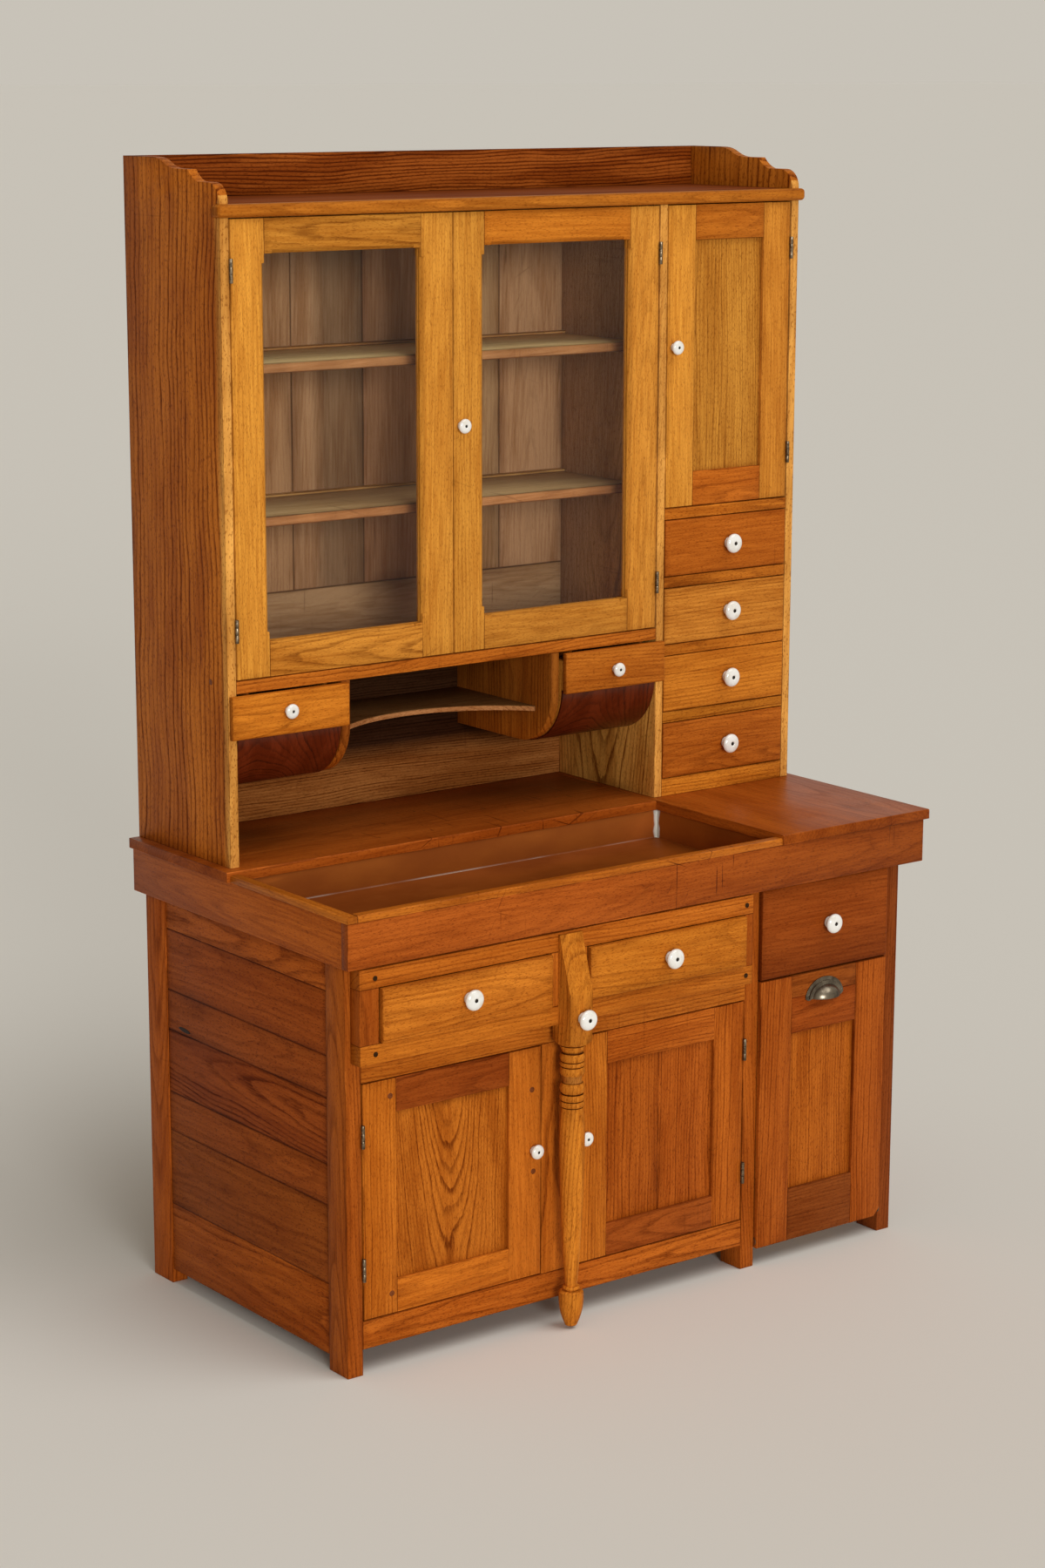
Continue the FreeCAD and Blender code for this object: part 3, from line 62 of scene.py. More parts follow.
Piece = bpy.types.Object
Socket = bpy.types.NodeSocket
Sockets = bpy.types.bpy_prop_collection
Colour = tuple[float, float, float, float]
Tint = tuple[float, float, float]
Point = tuple[float, float, float]
Span = tuple[float, float]
Rings = tuple[Span, ...]
BODY_OF_NODE: dict[str, str] = {
    node: body for body, nodes in frame["record"]["behaviour"]["bodies"].items() for node in nodes
}
SLOT_OF_NODE: dict[str, str] = {
    part["node"]: part["material_slot"] for part in frame["record"]["subparts"]
}
WELD = 1e-6
WELD_DIGITS = 6
FLAT = math.radians(0.4)


class Axis(IntEnum):
    """The frame's axes: to the right, to the back and up."""

    X = 0
    Y = 1
    Z = 2


def paint(red: int, green: int, blue: int) -> Colour:
    """Turns a colour as seen on a screen into the linear colour that shaders take, by the sRGB curve.

    Args:
        red: the red share, 0 to 255.
        green: the green share, 0 to 255.
        blue: the blue share, 0 to 255.

    Returns:
        The linear colour, opaque.
    """
    shares = [value / 255.0 for value in (red, green, blue)]
    linear = [share / 12.92 if share <= 0.04045 else ((share + 0.055) / 1.055) ** 2.4 for share in shares]
    return (linear[0], linear[1], linear[2], 1.0)


def find_boards(mesh: bpy.types.Mesh) -> list[list[int]]:
    """Finds a node's boards: runs of faces whose edges close on themselves.

    Args:
        mesh: the node's mesh of loose triangles, board after board.

    Returns:
        The face numbers of each board.
    """
    corners = [tuple(round(value, WELD_DIGITS) for value in vertex.co) for vertex in mesh.vertices]
    boards: list[list[int]] = []
    current: list[int] = []
    open_edges: set[frozenset] = set()
    for face in mesh.polygons:
        points = [corners[index] for index in face.vertices]
        current.append(face.index)
        for first, second in zip(points, points[1:] + points[:1]):
            if first != second:
                open_edges ^= {frozenset((first, second))}
        if not open_edges:
            boards.append(current)
            current = []
    if current:
        boards.append(current)
    return boards


def board_top(node: str, index: int) -> float:
    """Finds the height of the upper face of one board.

    Args:
        node: the frame node.
        index: the board's number in its node.

    Returns:
        The height.
    """
    mesh = frame["nodes"][node].data
    faces = [mesh.polygons[number] for number in find_boards(mesh)[index]]
    return max(mesh.vertices[corner].co.z for face in faces for corner in face.vertices)


def pick(*objects: Piece) -> None:
    """Selects just these objects and makes the last one active.

    Args:
        objects: what to select.
    """
    bpy.ops.object.select_all(action="DESELECT")
    for thing in objects:
        thing.select_set(True)
    bpy.context.view_layer.objects.active = objects[-1]


def copy_node(node: str, name: str) -> Piece:
    """Copies a frame node's mesh to a new object, bare of its material, and picks that.

    Args:
        node: the frame node.
        name: the new object's name.

    Returns:
        The new object.
    """
    mesh = frame["nodes"][node].data.copy()
    mesh.materials.clear()
    piece = bpy.data.objects.new(name, mesh)
    bpy.context.scene.collection.objects.link(piece)
    pick(piece)
    return piece


def weld() -> None:
    """Merges, in edit mode, a node's loose triangles into whole faces."""
    bpy.ops.mesh.select_all(action="SELECT")
    bpy.ops.mesh.remove_doubles(threshold=WELD)
    bpy.ops.mesh.dissolve_limited(angle_limit=FLAT)


def round_over(width: float, sharp: float) -> None:
    """Rounds over, in edit mode, the sharp edges of a mesh.

    Args:
        width: the width of the rounding.
        sharp: the least turn of a sharp edge, in radians.
    """
    bpy.ops.mesh.select_mode(type="EDGE")
    bpy.ops.mesh.select_all(action="DESELECT")
    bpy.ops.mesh.edges_select_sharp(sharpness=sharp)
    bpy.ops.mesh.bevel(offset=width, segments=2, affect="EDGES", clamp_overlap=True)


def slice_across(axis: Axis, place: float) -> None:
    """Adds edges, in edit mode, where a plane across one axis meets the mesh.

    Args:
        axis: the axis.
        place: where the plane crosses it.
    """
    normal = Vector([float(other is axis) for other in Axis])
    bpy.ops.mesh.select_all(action="SELECT")
    bpy.ops.mesh.bisect(plane_co=normal * place, plane_no=normal)


def fasten(piece: Piece, node: str, name: str) -> None:
    """Names a finished piece and lets it ride with a node.

    Args:
        piece: the finished piece.
        node: the frame node that it rides with.
        name: the piece's name.
    """
    piece.name = piece.data.name = name
    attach(piece, BODY_OF_NODE[node])
    LOG.info("%s on %s", name, BODY_OF_NODE[node])


def seat(piece: Piece, node: str, name: str) -> None:
    """Fastens a finished piece in the place of the node that it stands for."""
    fasten(piece, node, name)
    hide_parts(node)


@dataclass(frozen=True)
class Pattern:
    """A noise and how it shows.

    The stretch is its count a metre, even or along each axis, and the detail is how many finer layers it has.
    Its values from low to high are mapped to those from start to end.
    """

    stretch: float | Point
    detail: float = 2.0
    low: float = 0.0
    high: float = 1.0
    start: float = 0.0
    end: float = 1.0


class NodeSheet:
    """A node tree being laid out: adds nodes and links with few words.

    A Mix node has sockets of the same name for each kind of data, so those for colours go by their number.
    """

    MIX_SHARE = 0
    MIX_BELOW = 6
    MIX_ABOVE = 7
    MIX_RESULT = 2

    def __init__(self, tree: bpy.types.NodeTree) -> None:
        """Keeps the tree that the nodes go into."""
        self.tree = tree

    def add(self, kind: str, **settings: object) -> bpy.types.Node:
        """Adds a node.

        Args:
            kind: the node's type, without the leading ShaderNode.
            settings: properties of the node to set.

        Returns:
            The new node.
        """
        node = self.tree.nodes.new("ShaderNode" + kind)
        for name, value in settings.items():
            setattr(node, name, value)
        return node

    def feed(self, target: Socket, source: object) -> None:
        """Links a socket to the target, or sets a plain value on it.

        Args:
            target: the socket that takes the value.
            source: an output socket or a plain value.
        """
        if isinstance(source, Socket):
            self.tree.links.new(source, target)
        else:
            target.default_value = source

    def fill(self, inputs: Sockets, sources: dict[str, object]) -> None:
        """Feeds several of a node's inputs, each from a socket or a plain value, by their names."""
        for name, source in sources.items():
            self.feed(inputs[name], source)

    def math(self, operation: str, *values: object) -> Socket:
        """Works out a sum, taking in one value after the other.

        Args:
            operation: the Math node's operation.
            values: the numbers and sockets, a single one for an operation such as FRACT.

        Returns:
            The result's socket.
        """
        result, *others = values
        for value in others or (0.0,):
            node = self.add("Math", operation=operation)
            self.feed(node.inputs[0], result)
            self.feed(node.inputs[1], value)
            result = node.outputs[0]
        return result

    def times(self, *values: object) -> Socket:
        """Returns the product of numbers and sockets."""
        return self.math("MULTIPLY", *values)

    def vector(self, operation: str, first: object, second: object = None) -> Socket:
        """Works out one sum on vectors.

        Args:
            operation: the Vector Math node's operation.
            first: the first vector or socket.
            second: the second vector or socket, if the operation has one.

        Returns:
            The result's socket.
        """
        node = self.add("VectorMath", operation=operation)
        self.feed(node.inputs[0], first)
        if second is not None:
            self.feed(node.inputs[1], second)
        return node.outputs["Value" if operation == "LENGTH" else "Vector"]

    def away(self, place: Socket, across: Point, point: Point = (0.0, 0.0, 0.0)) -> Socket:
        """Works out the distance from a line that runs along one axis.

        Args:
            place: the coordinates.
            across: 1 for each axis across the line, and 0 for the one along it.
            point: a point of the line.

        Returns:
            The distance's socket.
        """
        offset = self.vector("SUBTRACT", place, point)
        return self.vector("LENGTH", self.vector("MULTIPLY", offset, across))

    def blend(self, share: object, below: object, above: object, mode: str = "MIX") -> Socket:
        """Mixes two colours.

        Args:
            share: how much of the upper one shows.
            below: the colour below.
            above: the colour above.
            mode: the blend type.

        Returns:
            The colour's socket.
        """
        node = self.add("Mix", data_type="RGBA", blend_type=mode)
        self.feed(node.inputs[self.MIX_SHARE], share)
        self.feed(node.inputs[self.MIX_BELOW], below)
        self.feed(node.inputs[self.MIX_ABOVE], above)
        return node.outputs[self.MIX_RESULT]

    def stain(self, share: object, colour: object, tint: Tint) -> Socket:
        """Multiplies a colour by a tint, by a share, and returns it."""
        return self.blend(share, colour, (*tint, 1.0), "MULTIPLY")

    def ramp(self, value: object, low: object, high: object, start: float = 0.0, end: float = 1.0) -> Socket:
        """Maps a value smoothly from one range to another.

        Args:
            value: the number or socket.
            low: where the range starts.
            high: where it ends.
            start: the result at low.
            end: the result at high.

        Returns:
            The result's socket.
        """
        node = self.add("MapRange", interpolation_type="SMOOTHSTEP")
        for socket, item in zip(node.inputs, (value, low, high, start, end)):
            self.feed(socket, item)
        return node.outputs[0]

    def fall(self, value: object, low: object, high: object) -> Socket:
        """Returns a mask that is whole up to low and gone from high on."""
        return self.ramp(value, low, high, 1.0, 0.0)

    def noise(self, place: Socket, pattern: Pattern) -> Socket:
        """Adds a pattern's noise, as it comes.

        Args:
            place: the coordinates.
            pattern: the pattern.

        Returns:
            The noise's value, around a half.
        """
        stretch = pattern.stretch
        counts = stretch if isinstance(stretch, tuple) else (stretch, stretch, stretch)
        node = self.add("TexNoise")
        self.feed(node.inputs["Vector"], self.vector("MULTIPLY", place, counts))
        node.inputs["Scale"].default_value = 1.0
        node.inputs["Detail"].default_value = pattern.detail
        return node.outputs[0]

    def pattern(self, place: Socket, pattern: Pattern) -> Socket:
        """Returns a pattern, mapped to its own values."""
        return self.ramp(self.noise(place, pattern), pattern.low, pattern.high, pattern.start, pattern.end)

    def attribute(self, name: str) -> Socket:
        """Returns a vector that the mesh carries."""
        return self.add("Attribute", attribute_name=name).outputs["Vector"]

    def object_place(self) -> Socket:
        """Returns the object coordinates."""
        return self.add("TexCoord").outputs["Object"]

    def roughen(self, shader: bpy.types.Node, height: Socket, strength: float, distance: float) -> None:
        """Puts a bump on a shader.

        Args:
            shader: the shader that takes the normal.
            height: the bump's height.
            strength: how strongly it shows.
            distance: its depth.
        """
        bump = self.add("Bump")
        self.fill(bump.inputs, {"Strength": strength, "Distance": distance, "Height": height})
        self.feed(shader.inputs["Normal"], bump.outputs[0])


class ShaderGroup:
    """A shader node group, built once and placed in each material with its own values."""

    NAME = ""
    TAKES: tuple[str, ...] = ()
    GIVES: dict[str, str] = {}

    @classmethod
    def place(cls, sheet: NodeSheet, **values: float) -> Sockets:
        """Places the group in a material.

        Args:
            sheet: the material's sheet.
            values: what the group's inputs are set to.

        Returns:
            The placed group's outputs.
        """
        node = sheet.add("Group", node_tree=bpy.data.node_groups.get(cls.NAME) or cls.build())
        sheet.fill(node.inputs, values)
        return node.outputs

    @classmethod
    def build(cls) -> bpy.types.NodeTree:
        """Makes the group with its sockets and lays out its nodes.

        Returns:
            The group's node tree.
        """
        tree = bpy.data.node_groups.new(cls.NAME, "ShaderNodeTree")
        for name in cls.TAKES:
            tree.interface.new_socket(name, in_out="INPUT", socket_type="NodeSocketFloat")
        for name, kind in cls.GIVES.items():
            tree.interface.new_socket(name, in_out="OUTPUT", socket_type=kind)
        given = tree.nodes.new("NodeGroupInput").outputs
        result = tree.nodes.new("NodeGroupOutput").inputs
        cls.lay(NodeSheet(tree), given, result)
        return tree

    @classmethod
    def lay(cls, sheet: NodeSheet, given: Sockets, result: Sockets) -> None:
        """Lays out the nodes between the group's inputs and outputs."""


class OakGrain(ShaderGroup):
    """Growth rings with open pores along them, flecks, fibres and slow streaks, on the board's own grain."""

    NAME = "oak_grain"
    TAKES = ("lines", "flecks", "streaks")
    GIVES = {"colour": "NodeSocketColor", "roughness": "NodeSocketFloat", "height": "NodeSocketFloat"}
    RING = 0.0060
    RING_RISE = (0.0, 0.10)
    RING_FALL = (0.12, 0.58)
    FAINTEST_RING = 0.30
    ACROSS = (0.0, 1.0, 1.0)
    SWAY = 0.034
    SWAYS = Pattern((2.0, 8.0, 8.0))
    FLUTTER = 0.0044
    FLUTTERS = Pattern((12.0, 70.0, 70.0), 3.0)
    DASHES = Pattern((24.0, 420.0, 420.0), 2.0, 0.34, 0.60, 0.45, 1.0)
    FLECKS = Pattern((150.0, 760.0, 760.0), 1.0, 0.55, 0.68)
    STREAKS = Pattern((2.4, 26.0, 26.0), 3.0, 0.28, 0.72, -0.5, 0.5)
    FIBRES = Pattern((7.0, 260.0, 260.0), 3.0, 0.25, 0.75, -0.38, 0.38)
    CLOUDS = Pattern(2.6, 3.0, 0.3, 0.7, -0.14, 0.14)
    EVEN = 0.5
    SMEARS = Pattern(9.0, 3.0)
    SMEAR_ROUGHNESS = 0.14
    LINE_ROUGHNESS = 0.15
    PALE = (1.16, 1.20, 1.26)
    DEEP = (0.80, 0.70, 0.60)
    LINE = (0.40, 0.29, 0.20)
    FLECK = (0.48, 0.36, 0.27)

    @classmethod
    def rings(cls, sheet: NodeSheet, grain: Socket) -> Socket:
        """Lays out the rings around the heart, each of its own strength and broken into pores.

        Args:
            sheet: the group's sheet.
            grain: the place in the tree that the board was cut from.

        Returns:
            How dark the rings' lines are.
        """
        sway = sheet.times(sheet.noise(grain, cls.SWAYS), cls.SWAY)
        flutter = sheet.times(sheet.noise(grain, cls.FLUTTERS), cls.FLUTTER)
        radius = sheet.math("ADD", sway, flutter, sheet.away(grain, cls.ACROSS))
        turns = sheet.math("DIVIDE", radius, cls.RING)
        share = sheet.math("FRACT", turns)
        ring = sheet.add("TexWhiteNoise", noise_dimensions="1D")
        sheet.feed(ring.inputs["W"], sheet.math("FLOOR", turns))
        strength = sheet.ramp(ring.outputs["Value"], 0.0, 1.0, cls.FAINTEST_RING, 1.0)
        line = sheet.times(sheet.ramp(share, *cls.RING_RISE), sheet.fall(share, *cls.RING_FALL))
        return sheet.times(line, strength, sheet.pattern(grain, cls.DASHES))

    @classmethod
    def lay(cls, sheet: NodeSheet, given: Sockets, result: Sockets) -> None:
        """Lays out the rings, pores, flecks and streaks.

        Args:
            sheet: the group's sheet.
            given: the group's inputs.
            result: the group's outputs.
        """
        board = sheet.add("Attribute", attribute_name="tone").outputs
        tone, lively = board["Color"], board["Alpha"]
        grain, place = sheet.attribute("grain"), sheet.object_place()
        line = sheet.times(given["lines"], lively, cls.rings(sheet, grain))
        fleck = sheet.times(sheet.pattern(grain, cls.FLECKS), given["flecks"])
        streak = sheet.times(given["streaks"], lively, sheet.pattern(grain, cls.STREAKS))
        fibre, cloud = sheet.pattern(grain, cls.FIBRES), sheet.pattern(place, cls.CLOUDS)
        pale = sheet.math("ADD", cloud, fibre, streak, cls.EVEN)
        colour = sheet.blend(pale, sheet.stain(1.0, tone, cls.DEEP), sheet.stain(1.0, tone, cls.PALE))
        colour = sheet.stain(line, colour, cls.LINE)
        smear = sheet.times(sheet.noise(place, cls.SMEARS), cls.SMEAR_ROUGHNESS)
        sheet.fill(result, {
            "colour": sheet.stain(fleck, colour, cls.FLECK),
            "roughness": sheet.math("ADD", smear, sheet.times(line, cls.LINE_ROUGHNESS)),
            "height": sheet.math("SUBTRACT", 0.0, sheet.math("ADD", line, fleck)),
        })


class BoardEdges(ShaderGroup):
    """Masks that follow a board's own edges: seams, worn corners, dirt with painted shade along the rim and
    end grain.
    """

    NAME = "board_edges"
    TAKES = ("gap", "reach")
    GIVES = {name: "NodeSocketFloat" for name in ("seam", "worn", "grime_and_shade", "end")}
    SEAM = 0.0004
    WORN = (0.0008, 0.0022)
    END = (0.0004, 0.0012)
    RUBS = Pattern(16.0, 2.0, 0.48, 0.62)
    GRIME_AND_SHADE_PATCHES = Pattern(7.0, 4.0, 0.34, 0.66)

    @classmethod
    def lay(cls, sheet: NodeSheet, given: Sockets, result: Sockets) -> None:
        """Lays out the masks from the distance to the board's nearest edge.

        Args:
            sheet: the group's sheet.
            given: the group's inputs.
            result: the group's outputs.
        """
        spot = sheet.vector("ABSOLUTE", sheet.attribute("spot"))
        inset = sheet.add("SeparateXYZ")
        sheet.feed(inset.inputs[0], sheet.vector("SUBTRACT", sheet.attribute("half"), spot))
        along, across, deep = inset.outputs
        nearer = sheet.math("MINIMUM", along, across)
        further = sheet.math("MAXIMUM", along, across)
        rim = sheet.math("MAXIMUM", nearer, sheet.math("MINIMUM", further, deep))
        place = sheet.object_place()
        sheet.fill(result, {
            "seam": sheet.fall(rim, cls.SEAM, given["gap"]),
            "worn": sheet.times(sheet.fall(rim, *cls.WORN), sheet.pattern(place, cls.RUBS)),
            # Dirt and painted shade: a patchy band, darker near every edge of the board, where shade falls
            # between parts.
            "grime_and_shade": sheet.times(sheet.fall(rim, 0.0, given["reach"]), sheet.pattern(place, cls.GRIME_AND_SHADE_PATCHES)),
            "end": sheet.fall(along, *cls.END),
        })


class Scuffs(ShaderGroup):
    """Knocks: short checks across the board, thin dark scratches several ways and rubbed patches."""

    NAME = "scuffs"
    TAKES = ("amount",)
    GIVES = {"marks": "NodeSocketFloat", "rub": "NodeSocketFloat"}
    CHECKS = Pattern((150.0, 40.0, 9.0), 1.0, 0.70, 0.76)
    SCRATCHES = Pattern((6.0, 6.0, 170.0), 1.0, 0.73, 0.77)
    SCRATCH_TURNS = (0.5, -0.35, 1.1)
    PATCHES = Pattern(4.0, 2.0, 0.45, 0.60)
    RUBS = Pattern(5.0, 3.0, 0.50, 0.72)

    @classmethod
    def lay(cls, sheet: NodeSheet, given: Sockets, result: Sockets) -> None:
        """Lays out the marks on object coordinates.

        Args:
            sheet: the group's sheet.
            given: the group's inputs.
            result: the group's outputs.
        """
        place = sheet.object_place()
        marks = sheet.pattern(place, cls.CHECKS)
        for turn in cls.SCRATCH_TURNS:
            turned = sheet.add("Mapping")
            sheet.feed(turned.inputs["Vector"], place)
            turned.inputs["Location"].default_value = (turn, turn, turn)
            turned.inputs["Rotation"].default_value = (0.0, turn, turn)
            marks = sheet.math("MAXIMUM", marks, sheet.pattern(turned.outputs[0], cls.SCRATCHES))
        sheet.fill(result, {
            "marks": sheet.times(marks, sheet.pattern(place, cls.PATCHES), given["amount"]),
            "rub": sheet.times(sheet.pattern(place, cls.RUBS), given["amount"]),
        })


class Finish:
    """A finish whose material is made once, at its first use."""

    name: str

    def material(self) -> bpy.types.Material:
        """Gives the finish's material.

        Returns:
            The material, made now or before.
        """
        found = bpy.data.materials.get(self.name)
        if found:
            return found
        material = bpy.data.materials.new(self.name)
        material.use_nodes = True
        self.lay(NodeSheet(material.node_tree), material.node_tree.nodes["Principled BSDF"])
        return material

    def lay(self, sheet: NodeSheet, shader: bpy.types.Node) -> None:
        """Lays out the material's nodes around its shader."""


@dataclass(frozen=True)
class OakFinish(Finish):
    """One finish of the oak: the board carries its tone, and the finish says how its surface shows."""

    name: str
    lines: float = 0.9
    flecks: float = 0.55
    streaks: float = 0.9
    end: float = 0.7
    end_tint: Tint = (0.58, 0.50, 0.44)
    # Dirt and painted shade near the board's edges: how strong, its tint and how far it reaches.
    grime_and_shade: float = 0.35
    grime_and_shade_tint: Tint = (0.42, 0.34, 0.30)
    reach: float = 0.014
    seam: float = 0.55
    seam_tint: Tint = (0.34, 0.26, 0.20)
    gap: float = 0.0014
    wear: float = 0.5
    worn_tint: Tint = (1.9, 2.1, 2.4)
    scuffs: float = 0.25
    mark_tint: Tint = (0.36, 0.28, 0.24)
    roughness: float = 0.36
    rub_roughness: float = 0.12
    coat: float = 0.0
    coat_roughness: float = 0.20
    specular: float = 0.05
    sheen_tint: Colour = (1.0, 0.74, 0.46, 1.0)
    bump: Span = (0.30, 0.0005)

    def lay(self, sheet: NodeSheet, shader: bpy.types.Node) -> None:
        """Lays the grain, the board's edges and the knocks over one another.

        Args:
            sheet: the material's sheet.
            shader: its shader.
        """
        oak = OakGrain.place(sheet, lines=self.lines, flecks=self.flecks, streaks=self.streaks)
        edges = BoardEdges.place(sheet, gap=self.gap, reach=self.reach)
        knocks = Scuffs.place(sheet, amount=self.scuffs)
        colour = sheet.stain(sheet.times(edges["end"], self.end), oak["colour"], self.end_tint)
        # Dirt and painted shade darken a band along the board's edges.
        colour = sheet.stain(sheet.times(edges["grime_and_shade"], self.grime_and_shade), colour, self.grime_and_shade_tint)
        colour = sheet.stain(sheet.times(edges["seam"], self.seam), colour, self.seam_tint)
        colour = sheet.stain(sheet.times(edges["worn"], self.wear), colour, self.worn_tint)
        rubbed = sheet.times(knocks["rub"], self.rub_roughness)
        sheet.fill(shader.inputs, {
            "Base Color": sheet.stain(knocks["marks"], colour, self.mark_tint),
            "Roughness": sheet.math("ADD", oak["roughness"], self.roughness, rubbed),
            "Coat Weight": self.coat,
            "Coat Roughness": self.coat_roughness,
            "Specular IOR Level": self.specular,
            "Specular Tint": self.sheen_tint,
        })
        sheet.roughen(shader, sheet.math("SUBTRACT", oak["height"], knocks["marks"]), *self.bump)


@dataclass(frozen=True)
class PorcelainFinish(Finish):
    """White glazed porcelain with a faint warm cloud and fine specks in the glaze."""

    name: str = "white_porcelain"
    white: Colour = paint(236, 234, 228)
    warm: Colour = paint(222, 216, 203)
    clouds: Pattern = Pattern(60.0, 3.0, 0.4, 0.75)
    specks: Pattern = Pattern(900.0, 1.0, 0.74, 0.80, 0.0, 0.5)
    speck_tint: Tint = (0.62, 0.56, 0.48)
    roughness: Span = (0.08, 0.18)
    coat: float = 0.5
    coat_roughness: float = 0.05

    def lay(self, sheet: NodeSheet, shader: bpy.types.Node) -> None:
        """Lays the glaze.

        Args:
            sheet: the material's sheet.
            shader: its shader.
        """
        place = sheet.object_place()
        cloud = sheet.pattern(place, self.clouds)
        glaze = sheet.blend(cloud, self.white, self.warm)
        sheet.fill(shader.inputs, {
            "Base Color": sheet.stain(sheet.pattern(place, self.specks), glaze, self.speck_tint),
            "Roughness": sheet.ramp(cloud, 0.0, 1.0, *self.roughness),
            "Coat Weight": self.coat,
            "Coat Roughness": self.coat_roughness,
        })


@dataclass(frozen=True)
class MetalFinish(Finish):
    """An aged metal: a clean and a tarnished tone, and how the tarnish lies."""

    name: str
    clean: Colour
    tarnish: Colour
    polish: float
    dull: float
    spots: float
    cover: float = 0.5
    pitting: float = 0.15
    pit_depth: float = 0.0004
    fineness: float = 5.0
    blur: float = 0.18

    def lay(self, sheet: NodeSheet, shader: bpy.types.Node) -> None:
        """Lays the tarnish over the clean metal.

        Args:
            sheet: the material's sheet.
            shader: its shader.
        """
        cloud = sheet.noise(sheet.object_place(), Pattern(self.spots, self.fineness))
        mask = sheet.ramp(cloud, self.cover - self.blur, self.cover + self.blur)
        sheet.fill(shader.inputs, {
            "Base Color": sheet.blend(mask, self.clean, self.tarnish),
            "Roughness": sheet.ramp(mask, 0.0, 1.0, self.polish, self.dull),
            "Metallic": 1.0,
        })
        sheet.roughen(shader, cloud, self.pitting, self.pit_depth)


@dataclass(frozen=True)
class CopperFinish(Finish):
    """The sink's sheet copper, browned and rubbed, with solder down one corner and along the back's foot."""

    corner: Span
    foot: float
    name: str = "aged_copper"
    bright: Colour = paint(156, 84, 28)
    brown: Colour = paint(134, 67, 20)
    clouds: Pattern = Pattern((5.0, 7.0, 9.0), 5.0)
    browned: Span = (0.32, 0.66)
    scratches: Pattern = Pattern((7.0, 260.0, 40.0), 1.0, 0.68, 0.76, 0.0, 0.45)
    scratch_tint: Tint = (1.5, 1.5, 1.5)
    solder: Colour = paint(206, 204, 194)
    solder_width: float = 0.011
    solder_blur: float = 0.005
    sway: float = 0.010
    sways: Pattern = Pattern(40.0)
    seam_width: float = 0.0022
    breaks: Pattern = Pattern(6.0, 2.0, 0.40, 0.62, 0.05, 0.45)
    roughness: Span = (0.30, 0.42)
    metallic: float = 0.35
    specular: float = 0.12
    dents: Span = (0.06, 0.002)

    def lay(self, sheet: NodeSheet, shader: bpy.types.Node) -> None:
        """Lays the browned sheet, its scratches, the soldered corner and the seam.

        Args:
            sheet: the material's sheet.
            shader: its shader.
        """
        place = sheet.object_place()
        cloud = sheet.noise(place, self.clouds)
        brown = sheet.ramp(cloud, *self.browned)
        colour = sheet.blend(brown, self.bright, self.brown)
        colour = sheet.stain(sheet.pattern(place, self.scratches), colour, self.scratch_tint)
        reach = sheet.away(place, (1.0, 1.0, 0.0), (*self.corner, 0.0))
        reach = sheet.math("ADD", reach, sheet.times(sheet.noise(place, self.sways), self.sway))
        corner = sheet.fall(reach, self.solder_width, self.solder_width + self.solder_blur)
        reach = sheet.away(place, (0.0, 1.0, 1.0), (0.0, self.corner[1], self.foot))
        seam = sheet.fall(reach, self.seam_width, self.seam_width * 2)
        seam = sheet.times(seam, sheet.pattern(place, self.breaks))
        sheet.fill(shader.inputs, {
            "Base Color": sheet.blend(sheet.math("MAXIMUM", corner, seam), colour, self.solder),
            "Roughness": sheet.ramp(brown, 0.0, 1.0, *self.roughness),
            "Metallic": self.metallic,
            "Specular IOR Level": self.specular,
        })
        sheet.roughen(shader, cloud, *self.dents)


@dataclass(frozen=True)
class PaneFinish(Finish):
    """Old drawn window glass, clear, with a slow ripple. Light passes straight through it."""

    name: str = "window_glass"
    colour: Colour = (0.96, 0.98, 0.97, 1.0)
    bending: float = 1.22
    ripples: Pattern = Pattern(3.0, 1.0)
    ripple: Span = (0.04, 0.01)

    def lay(self, sheet: NodeSheet, shader: bpy.types.Node) -> None:
        """Lays the clear glass and lets shadow and diffuse rays through.

        Args:
            sheet: the material's sheet.
            shader: its shader.
        """
        sheet.fill(shader.inputs, {
            "Base Color": self.colour,
            "Roughness": 0.0,
            "IOR": self.bending,
            "Transmission Weight": 1.0,
        })
        sheet.roughen(shader, sheet.noise(sheet.object_place(), self.ripples), *self.ripple)
        path = sheet.add("LightPath").outputs
        mix = sheet.add("MixShader")
        sheet.feed(mix.inputs[0], sheet.math("MAXIMUM", path["Is Shadow Ray"], path["Is Diffuse Ray"]))
        sheet.feed(mix.inputs[1], shader.outputs[0])
        sheet.feed(mix.inputs[2], sheet.add("BsdfTransparent").outputs[0])
        sheet.feed(sheet.tree.nodes["Material Output"].inputs["Surface"], mix.outputs[0])


class Oak(Enum):
    """The oak finishes on this piece."""

    WAXED = OakFinish("oak_waxed")
    OPEN = OakFinish("oak_open_grain", lines=1.0, flecks=0.7, streaks=1.0, seam=0.75, grime_and_shade=0.5, reach=0.022)
    PLANK = OakFinish("oak_planked", lines=1.0, flecks=0.7, seam=0.9, gap=0.0034, grime_and_shade=0.5, reach=0.022)
    TOP = OakFinish("oak_varnished_top", lines=0.45, flecks=0.6, grime_and_shade=0.30, wear=0.7, roughness=0.27,
                    scuffs=1.0, specular=0.09)
    BENT = OakFinish("bent_sheet", flecks=0.2, streaks=1.3, wear=0.3, roughness=0.24, coat=0.15,
                     specular=0.26)
    BARE = OakFinish("bare_inside", lines=0.30, flecks=0.3, streaks=1.3, seam=0.95, gap=0.0030, grime_and_shade=0.6,
                     reach=0.03, wear=0.1, roughness=0.58, scuffs=0.4)


